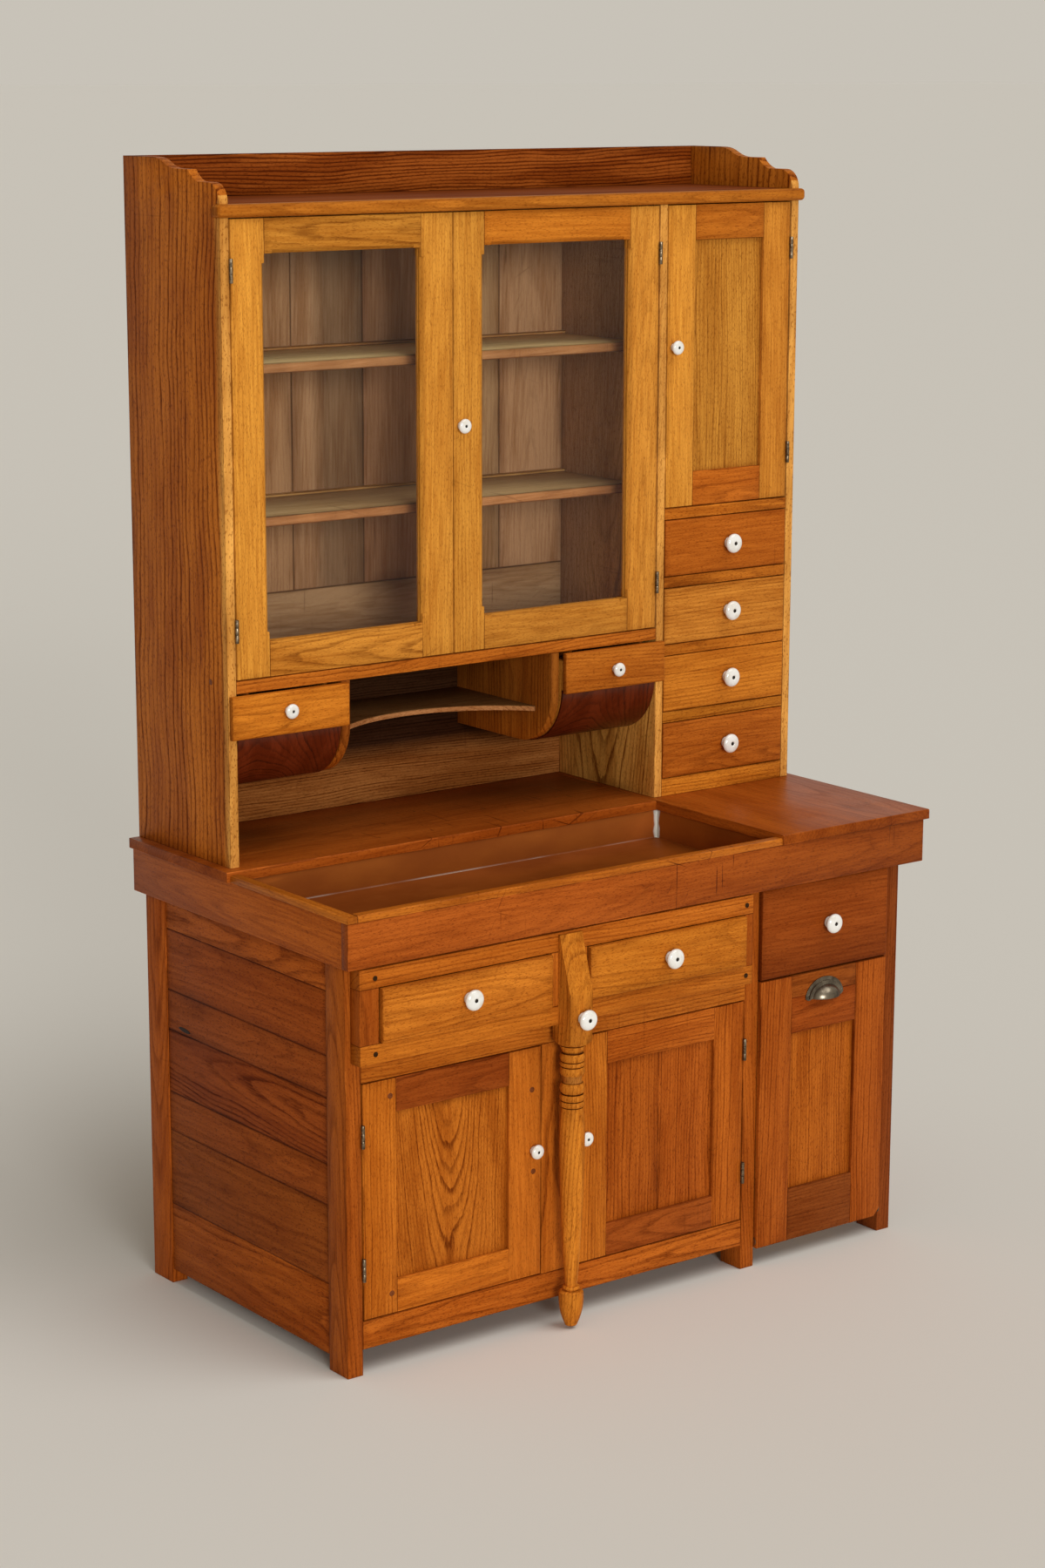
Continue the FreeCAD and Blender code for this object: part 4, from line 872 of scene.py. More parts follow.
class Tone(Enum):
    """The tones of the wood, from golden to dark, and the bare tones of its inside."""

    GOLDEN = paint(214, 145, 54)
    BUTTER = paint(228, 162, 76)
    WHEAT = paint(197, 128, 46)
    HONEY = paint(195, 115, 34)
    AMBER = paint(186, 103, 29)
    RUSSET = paint(175, 91, 26)
    CHESTNUT = paint(165, 82, 23)
    BRICK = paint(147, 71, 22)
    UMBER = paint(127, 61, 22)
    OLIVE = paint(152, 93, 42)
    CHERRY = paint(92, 32, 11)
    DRAB = paint(168, 127, 87)
    CLAY = paint(186, 128, 81)
    DEAL = paint(196, 146, 86)


class Run(Enum):
    """The way a board's grain runs: along its longest side, or upright."""

    LONGEST = "longest"
    UPRIGHT = "upright"


class Cut(Enum):
    """How a board was sawn: by chance, with the rings lying flat in it, or with them standing."""

    ANY = "any"
    PLAIN = "plain"
    QUARTER = "quarter"


@dataclass(frozen=True)
class Fade:
    """A change of a board's tone along one axis: none up to the start, and all of it from the stop on."""

    axis: Axis
    start: float
    stop: float
    tint: Tint

    def at(self, place: Vector) -> list[float]:
        """Gives the tint at one point.

        Args:
            place: a point of the board.

        Returns:
            The share of each of the tone's colours there.
        """
        way = (place[self.axis] - self.start) / (self.stop - self.start)
        way = min(max(way, 0.0), 1.0)
        return [1.0 + (share - 1.0) * way for share in self.tint]

    def divide(self) -> None:
        """Adds edges, in edit mode, where the fade starts and stops."""
        for place in (self.start, self.stop):
            slice_across(self.axis, place)


@dataclass(frozen=True)
class BoardLook:
    """How one board is dressed.

    Lively is how strongly its grain shows, ease the rounding of its edges, rings the width of its rings and
    flame the lean of the tree's heart, in degrees, where the rings are to run out in pointed figures.
    """

    tone: Tone
    finish: Oak = Oak.WAXED
    lively: float = 1.0
    cut: Cut = Cut.ANY
    run: Run = Run.LONGEST
    ease: float = 0.0010
    rings: float = 1.2
    flame: float = 0.0
    fade: Fade | None = None


REST = -1
NodeLook = dict[int, BoardLook]
DEAL = BoardLook(Tone.DEAL, Oak.BARE, 0.6)
DRAB = BoardLook(Tone.DRAB, Oak.BARE)


@dataclass
class Joiner:
    """Cuts a node's boards apart, eases their edges, gives each its grain and joins them into one piece.

    A look is kept for a board's number, and REST's look for the others. The tree's heart leans a few degrees
    either way. It lies below a flat-sawn board, up to a share of the half width aside, and well aside of a
    standing one, anywhere along the tree.
    """

    node: str
    looks: NodeLook
    jitter: float = 0.05
    flat_share: float = 0.6
    sharp: float = math.radians(38.0)
    smooth: float = math.radians(32.0)
    leans: Span = (1.6, 3.4)
    side_lean: float = 0.4
    flat_aside: Span = (-0.6, 0.6)
    flat_below: Span = (0.035, 0.08)
    standing_aside: Span = (0.10, 0.25)
    standing_below: Span = (0.01, 0.05)
    along_tree: Span = (-40.0, 40.0)

    def build(self) -> None:
        """Makes the dressed piece, riding on the node's body in the node's place."""
        found = find_boards(frame["nodes"][self.node].data)
        boards = [self.cut(faces, index) for index, faces in enumerate(found)]
        pick(*boards)
        if len(boards) > 1:
            bpy.ops.object.join()
        bpy.ops.object.shade_smooth_by_angle(angle=self.smooth)
        seat(boards[-1], self.node, self.node + "_oak")

    def cut(self, faces: list[int], index: int) -> Piece:
        """Makes one board from its faces, with its eased edges and its grain.

        Args:
            faces: the board's face numbers.
            index: the board's number in its node.

        Returns:
            The board.
        """
        board = copy_node(self.node, f"{self.node}_{index}")
        look = self.looks.get(index) or self.looks[REST]
        bpy.ops.object.mode_set(mode="EDIT")
        bpy.ops.mesh.select_mode(type="FACE")
        bpy.ops.mesh.select_all(action="DESELECT")
        bpy.ops.object.mode_set(mode="OBJECT")
        keep = set(faces)
        for face in board.data.polygons:
            face.select = face.index not in keep
        bpy.ops.object.mode_set(mode="EDIT")
        bpy.ops.mesh.delete(type="FACE")
        weld()
        self.divide()
        if look.fade:
            look.fade.divide()
        if look.ease:
            round_over(look.ease, self.sharp)
        bpy.ops.object.mode_set(mode="OBJECT")
        self.lay_grain(board.data, look, random.Random(f"{self.node} {index}"))
        board.data.materials.append(look.finish.value.material())
        return board

    def set_heart(self, look: BoardLook, half: Vector, chance: random.Random) -> tuple[Matrix, Vector]:
        """Draws where the heart of the tree lay beside the board, and how it leant.

        Args:
            look: how the board is dressed.
            half: half the board's size, along the grain first.
            chance: the board's own run of random numbers.

        Returns:
            The turn and the shift from the board to the tree.
        """
        flat_sawn = chance.random() < self.flat_share if look.cut is Cut.ANY else look.cut is Cut.PLAIN
        lean = math.radians(chance.uniform(*self.leans) * chance.choice((-1, 1)))
        if flat_sawn:
            heart = Vector((0.0, chance.uniform(*self.flat_aside) * half.y, chance.uniform(*self.flat_below)))
        else:
            heart = Vector((0.0, chance.uniform(*self.standing_aside), chance.uniform(*self.standing_below)))
        heart.x = chance.uniform(*self.along_tree)
        if look.flame:
            heart.y = 0.0
            lean = math.radians(look.flame)
        return Euler((0.0, lean, lean * self.side_lean)).to_matrix(), heart

    def draw_tone(self, look: BoardLook, chance: random.Random) -> list[float]:
        """Draws the board's own shade of its tone.

        Args:
            look: how the board is dressed.
            chance: the board's own run of random numbers.

        Returns:
            The shade, as a linear colour.
        """
        shift = [1.0 + chance.uniform(-1.0, 1.0) * self.jitter for _ in range(3)]
        level = 1.0 + chance.uniform(-1.0, 1.0) * self.jitter
        return [value * level * share for value, share in zip(look.tone.value, shift)]

    def lay_grain(self, mesh: bpy.types.Mesh, look: BoardLook, chance: random.Random) -> None:
        """Writes the board's grain, its place across the board and its tone on each point.

        Args:
            mesh: the board's mesh.
            look: how it is dressed.
            chance: the board's own run of random numbers.
        """
        low = Vector([min(vertex.co[axis] for vertex in mesh.vertices) for axis in range(3)])
        high = Vector([max(vertex.co[axis] for vertex in mesh.vertices) for axis in range(3)])
        size, middle = high - low, (low + high) / 2
        order = sorted(range(3), key=lambda axis: size[axis], reverse=True)
        if look.run is Run.UPRIGHT:
            order.sort(key=lambda axis: axis != Axis.Z)
        half = Vector([size[axis] / 2 for axis in order])
        tilt, heart = self.set_heart(look, half, chance)
        tone = self.draw_tone(look, chance)
        spread = Vector((1.0, 1.0 / look.rings, 1.0 / look.rings))
        kinds = dict.fromkeys(("grain", "spot", "half"), "FLOAT_VECTOR") | {"tone": "FLOAT_COLOR"}
        for name, kind in kinds.items():
            mesh.attributes.new(name, kind, "POINT")
        grain, spot, halves, tones = [mesh.attributes[name].data for name in kinds]
        for vertex in mesh.vertices:
            offset = vertex.co - middle
            local = Vector([offset[axis] for axis in order])
            grain[vertex.index].vector = (tilt @ local + heart) * spread
            spot[vertex.index].vector = local
            halves[vertex.index].vector = half
            tint = look.fade.at(vertex.co) if look.fade else (1.0, 1.0, 1.0)
            faded = [value * share for value, share in zip(tone, tint)]
            tones[vertex.index].color = self.stain(vertex.co, [*faded, look.lively])

    def divide(self) -> None:
        """Adds edges, in edit mode, where the stain of a board changes."""

    def stain(self, place: Vector, tone: list[float]) -> list[float]:
        """Returns the tone and the grain's liveliness at one point of a board."""
        return tone


@dataclass
class CaseJoiner(Joiner):
    """The upper case's uprights: golden front edges, and bare faces inside the cupboard behind the doors."""

    edge: Tone = Tone.BUTTER
    inside: Tone = Tone.DRAB
    edge_depth: float = 0.0025
    edge_lively: float = 0.25
    blend: float = 0.001

    def __post_init__(self) -> None:
        """Finds the cupboard from its doors, and the case's outer faces."""
        door_low, door_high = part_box("glass_door_left")
        self.front = door_low.y + self.edge_depth
        self.behind = door_high.y
        self.floor = door_low.z
        self.ceiling = door_high.z
        self.walls = [corner.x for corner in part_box("hutch_sides")]

    def divide(self) -> None:
        """Adds edges behind the front, and around the cupboard."""
        for place in (self.front, self.behind, self.behind + self.blend):
            slice_across(Axis.Y, place)
        for place in (self.floor, self.floor - self.blend, self.ceiling, self.ceiling + self.blend):
            slice_across(Axis.Z, place)

    def stain(self, place: Vector, tone: list[float]) -> list[float]:
        """Stains the front edge and the faces inside the cupboard.

        Args:
            place: a point of the upright.
            tone: the wood's tone and its grain's liveliness.

        Returns:
            The tone and the liveliness at the point.
        """
        if place.y < self.front + self.blend / 2:
            return [*self.edge.value[:3], self.edge_lively]
        outside = min(abs(place.x - wall) for wall in self.walls) < self.edge_depth
        within = place.y > self.behind + self.blend / 2 and self.floor <= place.z <= self.ceiling
        return [*self.inside.value[:3], self.edge_lively] if within and not outside else tone


@dataclass
class LegTurner(Joiner):
    """The turned leg: dark wax in the grooves between its beads, a neck rubbed grey and painted light on the
    shaft.

    Beads and shaft are heights, grooves are radii, and the others are shares of the tone and its liveliness.
    """

    grooves: Span = (0.0182, 0.0190)
    beads: Span = (0.400, 0.560)
    wax: Colour = (0.14, 0.10, 0.08, 1.0)
    rubbed: Colour = (0.82, 0.92, 1.60, 1.0)
    shaft: Span = (0.070, 0.400)
    shaft_painted_light: Colour = (1.12, 1.14, 1.18, 1.0)

    def __post_init__(self) -> None:
        """Finds the leg's axis."""
        low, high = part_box(self.node)
        self.axis = (low + high) / 2

    def stain(self, place: Vector, tone: list[float]) -> list[float]:
        """Darkens the grooves, greys the neck and paints light onto the shaft.

        Args:
            place: a point of the leg.
            tone: the wood's tone and its grain's liveliness.

        Returns:
            The tone and the liveliness at the point.
        """
        # Painted light: the shaft's tone is lightened against the shading of its round.
        if self.shaft[0] < place.z < self.shaft[1]:
            return [value * share for value, share in zip(tone, self.shaft_painted_light)]
        radius = math.hypot(place.x - self.axis.x, place.y - self.axis.y)
        if not self.beads[0] < place.z < self.beads[1] or radius > self.grooves[1]:
            return tone
        shares = self.wax if radius > self.grooves[0] else self.rubbed
        return [value * share for value, share in zip(tone, shares)]


class Facing(Enum):
    """The way a turned piece faces: the turn about the upright axis, in degrees, from the front."""

    FRONT = 0.0
    LEFT = -90.0


@dataclass
class Lathe:
    """Turns a round piece about the Y axis, ring by ring from its back to its front.

    Each ring is a radius and how far it stands out to the front.
    """

    rings: Rings
    corners: int = 24
    rounding: int = 2
    smooth: float = math.radians(50.0)

    @classmethod
    def small(cls, rings: Rings) -> "Lathe":
        """Returns a lathe for a small piece, which needs fewer corners."""
        return cls(rings, corners=16, rounding=1)

    def turn(self, name: str, finish: Finish) -> Piece:
        """Models the piece at the origin, facing the front.

        Args:
            name: the piece's name.
            finish: its finish.

        Returns:
            The turned piece.
        """
        bpy.ops.object.select_all(action="DESELECT")
        radius, out = self.rings[0]
        bpy.ops.mesh.primitive_circle_add(vertices=self.corners, radius=radius, fill_type="NGON",
                                          location=(0.0, -out, 0.0), rotation=(math.radians(90.0), 0.0, 0.0))
        piece = bpy.context.active_object
        piece.name = name
        bpy.ops.object.transform_apply(location=True, rotation=True, scale=True)
        bpy.ops.object.mode_set(mode="EDIT")
        bpy.ops.mesh.select_mode(type="FACE")
        bpy.ops.mesh.select_all(action="SELECT")
        for (before, start), (after, stop) in zip(self.rings, self.rings[1:]):
            bpy.ops.mesh.extrude_region_move(TRANSFORM_OT_translate={"value": (0.0, start - stop, 0.0)})
            share = after / before
            bpy.ops.transform.resize(value=(share, 1.0, share), center_override=(0.0, -stop, 0.0))
        bpy.ops.mesh.select_all(action="SELECT")
        bpy.ops.mesh.normals_make_consistent(inside=False)
        bpy.ops.object.mode_set(mode="OBJECT")
        modifier = piece.modifiers.new("rounding", "SUBSURF")
        modifier.levels = modifier.render_levels = self.rounding
        bpy.ops.object.modifier_apply(modifier=modifier.name)
        bpy.ops.object.shade_smooth_by_angle(angle=self.smooth)
        piece.data.materials.append(finish.material())
        return piece


def set_out(model: Piece, place: Vector, facing: Facing = Facing.FRONT) -> Piece:
    """Copies a model that stands at the origin to its place, with its own mesh.

    Args:
        model: the piece at the origin, facing the front.
        place: where its back goes.
        facing: the way it faces there.

    Returns:
        The copy.
    """
    copy = model.copy()
    copy.data = model.data.copy()
    copy.data.transform(Matrix.Translation(place) @ Matrix.Rotation(math.radians(facing.value), 4, "Z"))
    bpy.context.scene.collection.objects.link(copy)
    return copy


@dataclass(frozen=True)
class PlugFinish(Finish):
    """The dark end grain of a wooden plug."""

    name: str = "plug_oak"
    tone: Colour = paint(120, 60, 18)
    pores: Pattern = Pattern(900.0, 1.0, 0.45, 0.65)
    pore_tint: Tint = (0.5, 0.4, 0.3)
    roughness: float = 0.5
    specular: float = 0.2

    def lay(self, sheet: NodeSheet, shader: bpy.types.Node) -> None:
        """Lays the end grain's pores.

        Args:
            sheet: the material's sheet.
            shader: its shader.
        """
        pores = sheet.pattern(sheet.object_place(), self.pores)
        sheet.fill(shader.inputs, {
            "Base Color": sheet.stain(pores, self.tone, self.pore_tint),
            "Roughness": self.roughness,
            "Specular IOR Level": self.specular,
        })


PLUG_OAK = PlugFinish()
# Painted shade: the split is a dark sliver that stands for the shade inside a crack.
SPLIT_SHADE = PlugFinish("split_painted_shade", paint(34, 16, 7))
SCREW_STEEL = MetalFinish(
    "screw_steel", paint(70, 64, 58), paint(36, 30, 26), polish=0.40, dull=0.6, spots=400.0,
)
BROWN_STEEL = MetalFinish(
    "brown_steel", paint(84, 56, 32), paint(48, 30, 16), polish=0.45, dull=0.65, spots=400.0,
)
HINGE_STEEL = MetalFinish(
    "hinge_steel", paint(146, 130, 108), paint(84, 70, 52), polish=0.30, dull=0.55, spots=160.0,
)
NICKEL = MetalFinish(
    "aged_nickel", paint(132, 121, 105), paint(80, 70, 58), polish=0.26, dull=0.44, spots=45.0, cover=0.52,
    pitting=0.04,
)


@dataclass
class Knobs:
    """The porcelain knobs: each size is modelled once and copied to its places.

    Rings are shares of the knob's radius and of its length, from its foot outwards.
    """

    glaze: Rings = (
        (0.57, 0.0), (0.585, 0.02), (0.585, 0.11), (0.50, 0.17), (0.48, 0.34), (0.60, 0.46), (0.95, 0.55),
        (1.03, 0.68), (0.99, 0.82), (0.80, 0.945), (0.42, 0.998), (0.28, 0.994), (0.24, 0.985), (0.22, 0.93),
    )
    screw: Rings = ((0.21, 0.90), (0.21, 0.945), (0.18, 0.962), (0.02, 0.968))

    def model(self, radius: float, length: float) -> Piece:
        """Models one size of knob at the origin.

        Args:
            radius: its largest radius.
            length: how far it stands out.

        Returns:
            The knob with its screw.
        """
        glaze_rings, screw_rings = [
            tuple((share * radius, out * length) for share, out in rings)
            for rings in (self.glaze, self.screw)
        ]
        glaze = Lathe(glaze_rings).turn("knob_glaze", PorcelainFinish())
        screw = Lathe.small(screw_rings).turn("knob_screw", SCREW_STEEL)
        pick(screw, glaze)
        bpy.ops.object.join()
        return glaze

    def build(self) -> None:
        """Puts a knob in the place of each knob node."""
        models: dict[float, Piece] = {}
        for node in [name for name in SLOT_OF_NODE if name.endswith("_knob")]:
            low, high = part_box(node)
            width = round(high.x - low.x, 3)
            if width not in models:
                models[width] = self.model((high.x - low.x) / 2, high.y - low.y)
            place = Vector(((low.x + high.x) / 2, high.y, (low.z + high.z) / 2))
            seat(set_out(models[width], place), node, node + "_porcelain")
        for model in models.values():
            bpy.data.objects.remove(model)


@dataclass
class Fitting:
    """A metal fitting in its node's shape, with its edges rounded over."""

    node: str
    finish: Finish
    ease: float = 0.0004
    sharp: float = math.radians(40.0)
    smooth: float = math.radians(34.0)

    def build(self) -> Piece:
        """Makes the fitting from its node.

        Returns:
            The fitting.
        """
        piece = copy_node(self.node, self.node)
        bpy.ops.object.mode_set(mode="EDIT")
        weld()
        round_over(self.ease, self.sharp)
        bpy.ops.object.mode_set(mode="OBJECT")
        bpy.ops.object.shade_smooth_by_angle(angle=self.smooth)
        piece.data.materials.append(self.finish.material())
        seat(piece, self.node, self.node + "_metal")
        return piece


@dataclass
class Assembly:
    """A sub-assembly whose oak is dressed node by node."""

    def oak(self) -> dict[str, NodeLook]:
        """Returns how the boards of each oak node are dressed."""
        return {}

    def build(self) -> None:
        """Dresses every oak node."""
        for node, looks in self.oak().items():
            Joiner(node, looks).build()


@dataclass
class UpperCase(Assembly):
    """The upper case: its sides, partition, top with the gallery, back boards, shelves and rails."""

    side: BoardLook = BoardLook(Tone.AMBER, Oak.OPEN, 1.4, Cut.QUARTER, rings=2.3)
    partition: BoardLook = BoardLook(Tone.BUTTER, Oak.OPEN, 1.5, Cut.PLAIN, rings=1.3, flame=5.0)
    top: BoardLook = BoardLook(Tone.UMBER, Oak.BARE, 0.8)
    nosing: BoardLook = BoardLook(Tone.HONEY, lively=0.5, ease=0.0)
    niche: BoardLook = BoardLook(Tone.OLIVE, Oak.OPEN, 1.5, Cut.QUARTER, rings=0.9)
    gallery: BoardLook = BoardLook(Tone.BRICK, Oak.OPEN, 3.2, Cut.QUARTER, rings=1.1)
    floor: BoardLook = BoardLook(Tone.AMBER)
    shelf: BoardLook = BoardLook(Tone.CLAY, Oak.BARE, 0.25)
    rail: BoardLook = BoardLook(Tone.HONEY, Oak.OPEN, 0.8)
    bracket: BoardLook = BoardLook(Tone.AMBER, run=Run.UPRIGHT)
    niche_shelf: BoardLook = BoardLook(Tone.CLAY, Oak.OPEN, 0.6, ease=0.0008)
    # Painted shade: the niche's back boards, its brackets and the niche shelf's upper face darken under the
    # cupboard floor, where its shadow falls.
    niche_painted_shade: Tint = (0.12, 0.12, 0.22)
    niche_shade_band: Span = (0.062, 0.017)
    bracket_painted_shade: Tint = (0.55, 0.55, 0.70)
    niche_shelf_painted_shade: Tint = (0.38, 0.40, 0.34)
    # Painted light: the cupboard shelves' upper faces lighter and greyer, where light falls on them from
    # above.
    low_shelf_painted_light: Tint = (0.95, 1.45, 1.80)
    high_shelf_painted_light: Tint = (1.70, 2.70, 3.30)
    skin: Span = (0.0020, 0.0006)
    # One of the cupboard's back boards turns darker towards the right.
    back_board_darkening: Tint = (0.58, 0.58, 0.58)
    back_board_darkening_band: Span = (-0.275, -0.240)

    def topped(self, look: BoardLook, tint: Tint, node: str, index: int = 0) -> BoardLook:
        """Changes the tone of a shelf's upper face: painted light on the cupboard shelves, painted shade on
        the niche shelf.

        Args:
            look: how the shelf is dressed.
            tint: the change of its tone on that face.
            node: the shelf's node.
            index: the shelf's number in its node.

        Returns:
            The look with that face.
        """
        start, stop = [board_top(node, index) - depth for depth in self.skin]
        return replace(look, fade=Fade(Axis.Z, start, stop, tint))

    def oak(self) -> dict[str, NodeLook]:
        """Says how the boards of each oak node are dressed.

        Returns:
            The looks of each node's boards, by the board's number.
        """
        shelf_top = board_top("niche_shelf", 0)
        # Painted shade in the niche, darkest at the top under the cupboard floor.
        bracket_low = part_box("bin_brackets")[0].z
        start, stop = [bracket_low - drop for drop in self.niche_shade_band]
        niche = replace(self.niche, fade=Fade(Axis.Z, start, stop, self.niche_painted_shade))
        bracket = replace(self.bracket, fade=Fade(Axis.Z, bracket_low, shelf_top, self.bracket_painted_shade))
        darkened_back = replace(DRAB, fade=Fade(Axis.X, *self.back_board_darkening_band, self.back_board_darkening))
        lower = self.topped(self.shelf, self.low_shelf_painted_light, "cupboard_shelves", 1)
        upper = self.topped(self.shelf, self.high_shelf_painted_light, "cupboard_shelves", 3)
        return {
            "hutch_top_board": {REST: self.top, 1: self.nosing},
            "hutch_back_boards": {REST: DRAB, 0: niche, 1: niche, 3: self.gallery, 6: darkened_back},
            "cupboard_shelves": {0: self.floor, 1: lower, 2: DEAL, 3: upper, 4: DEAL},
            "spice_rails": {REST: self.rail},
            "bin_brackets": {REST: bracket},
            "niche_shelf": {REST: self.topped(self.niche_shelf, self.niche_shelf_painted_shade, "niche_shelf")},
        }

    def build(self) -> None:
        """Dresses the case, and its uprights with their own stains."""
        super().build()
        CaseJoiner("hutch_sides", {REST: self.side}).build()
        CaseJoiner("hutch_partition", {REST: self.partition}).build()


@dataclass
class UpperDoors(Assembly):
    """The two glazed doors and the panelled spice door."""

    stile: BoardLook = BoardLook(Tone.GOLDEN, lively=0.35)
    lined_stile: BoardLook = BoardLook(Tone.GOLDEN, lively=0.5, cut=Cut.QUARTER)
    hinge_stile: BoardLook = BoardLook(Tone.WHEAT, lively=0.5, cut=Cut.QUARTER)
    rail: BoardLook = BoardLook(Tone.WHEAT, cut=Cut.PLAIN)
    quiet_rail: BoardLook = BoardLook(Tone.WHEAT, lively=0.35)
    brown_rail: BoardLook = BoardLook(Tone.HONEY, lively=0.35)
    red_rail: BoardLook = BoardLook(Tone.AMBER, lively=0.8, cut=Cut.PLAIN)
    panel: BoardLook = BoardLook(Tone.WHEAT, Oak.OPEN, 0.8, Cut.QUARTER)

    def oak(self) -> dict[str, NodeLook]:
        """Says how the boards of each oak node are dressed.

        Returns:
            The looks of each node's boards, by the board's number.
        """
        return {
            "glass_door_left": {REST: self.stile, 2: self.rail, 3: self.rail},
            "glass_door_right": {
                REST: self.stile, 0: self.lined_stile, 2: self.quiet_rail, 3: self.brown_rail,
            },
            "spice_door": {
                REST: self.panel, 0: self.stile, 1: self.hinge_stile, 2: self.red_rail, 3: self.red_rail,
            },
        }

    def build(self) -> None:
        """Dresses the doors and glazes them."""
        super().build()
        for node in ("glass_door_left_pane", "glass_door_right_pane"):
            pane = frame["nodes"][node].data
            pane.materials.clear()
            pane.materials.append(PaneFinish().material())


@dataclass
class UpperDrawers(Assembly):
    """The four spice drawers and the two hanging bins with their bent sheets."""

    front_ease: float = 0.0014
    spice_fronts: tuple[tuple[Tone, float], ...] = (
        (Tone.RUSSET, 0.35), (Tone.WHEAT, 0.8), (Tone.HONEY, 0.9), (Tone.RUSSET, 0.7),
    )
    bin_fronts: tuple[tuple[str, Tone], ...] = (("bin_left", Tone.HONEY), ("bin_right", Tone.AMBER))
    bin_lively: float = 0.8
    sheet: BoardLook = BoardLook(Tone.CHERRY, Oak.BENT, 1.4, Cut.PLAIN, Run.UPRIGHT, 0.0)
    bin_wall: BoardLook = BoardLook(Tone.WHEAT, Oak.OPEN, run=Run.UPRIGHT)

    def oak(self) -> dict[str, NodeLook]:
        """Says how the boards of each oak node are dressed.

        Returns:
            The looks of each node's boards, by the board's number.
        """
        looks: dict[str, NodeLook] = {}
        for number, (tone, lively) in enumerate(self.spice_fronts, start=1):
            front = BoardLook(tone, lively=lively, ease=self.front_ease)
            looks[f"spice_drawer_{number}"] = {REST: DEAL, 0: front}
        for node, tone in self.bin_fronts:
            front = BoardLook(tone, lively=self.bin_lively, ease=self.front_ease)
            looks[node] = {REST: self.bin_wall, 0: front, 5: self.sheet}
        return looks


@dataclass
class SinkTop(Assembly):
    """The apron with its rim, the counter boards and the copper sink."""

    apron: BoardLook = BoardLook(Tone.CHESTNUT, Oak.TOP, 0.8)
    rim: BoardLook = BoardLook(Tone.AMBER, Oak.TOP, 0.8)
    counter: BoardLook = BoardLook(Tone.CHESTNUT, Oak.TOP, 0.9)
    # Painted shade: the apron darkens towards its right end, where the light falls off.
    apron_end_painted_shade: Tint = (0.64, 0.60, 0.54)

    def oak(self) -> dict[str, NodeLook]:
        """Says how the boards of each oak node are dressed.

        Returns:
            The looks of each node's boards, by the board's number.
        """
        low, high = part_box("sink_liner")
        apron_shade_fade = Fade(Axis.X, (low.x + high.x) / 2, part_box("sink_box")[1].x, self.apron_end_painted_shade)
        apron = replace(self.apron, fade=apron_shade_fade)
        return {
            "sink_box": {REST: DRAB, 0: apron, 1: self.apron, 2: self.apron, 3: self.apron},
            "sink_rim": {REST: self.rim},
            "counter_boards": {REST: self.counter},
        }

    def build(self) -> None:
        """Dresses the oak and lines the sink."""
        super().build()
        low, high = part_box("sink_liner")
        Fitting("sink_liner", CopperFinish((high.x, high.y), low.z)).build()


@dataclass
class BaseCase(Assembly):
    """The base's posts, panelled ends, rails, back and inner boards."""

    post: BoardLook = BoardLook(Tone.CHESTNUT, lively=0.9)
    # Painted shade: the right-hand posts take a darker tone, as the light falls off towards the lower right.
    shaded_right_post: BoardLook = BoardLook(Tone.UMBER, lively=0.9)
    end_board: BoardLook = BoardLook(Tone.BRICK, Oak.PLANK, 0.45, Cut.PLAIN, rings=1.8)
    figured_end: BoardLook = BoardLook(Tone.BRICK, Oak.PLANK, 1.2, Cut.PLAIN)
    end_rail: BoardLook = BoardLook(Tone.CHESTNUT, Oak.OPEN, 0.9, Cut.PLAIN, rings=1.6)
    low_rail: BoardLook = BoardLook(Tone.RUSSET, Oak.OPEN, 0.9, Cut.PLAIN)
    rail: BoardLook = BoardLook(Tone.AMBER)

    def oak(self) -> dict[str, NodeLook]:
        """Says how the boards of each oak node are dressed.

        Returns:
            The looks of each node's boards, by the board's number.
        """
        rails = {number: self.end_rail for number in (0, 1, 7, 8)}
        figured = {number: self.figured_end for number in (4, 10, 12)}
        return {
            "base_posts": {REST: self.post, 4: self.shaded_right_post, 5: self.shaded_right_post},
            "end_panels": {REST: self.end_board, **rails, **figured},
            "base_front_rails": {REST: self.rail, 0: self.low_rail},
            "base_back_boards": {REST: DRAB},
            "base_inner_boards": {REST: DRAB},
            "base_runners": {REST: DRAB},
        }


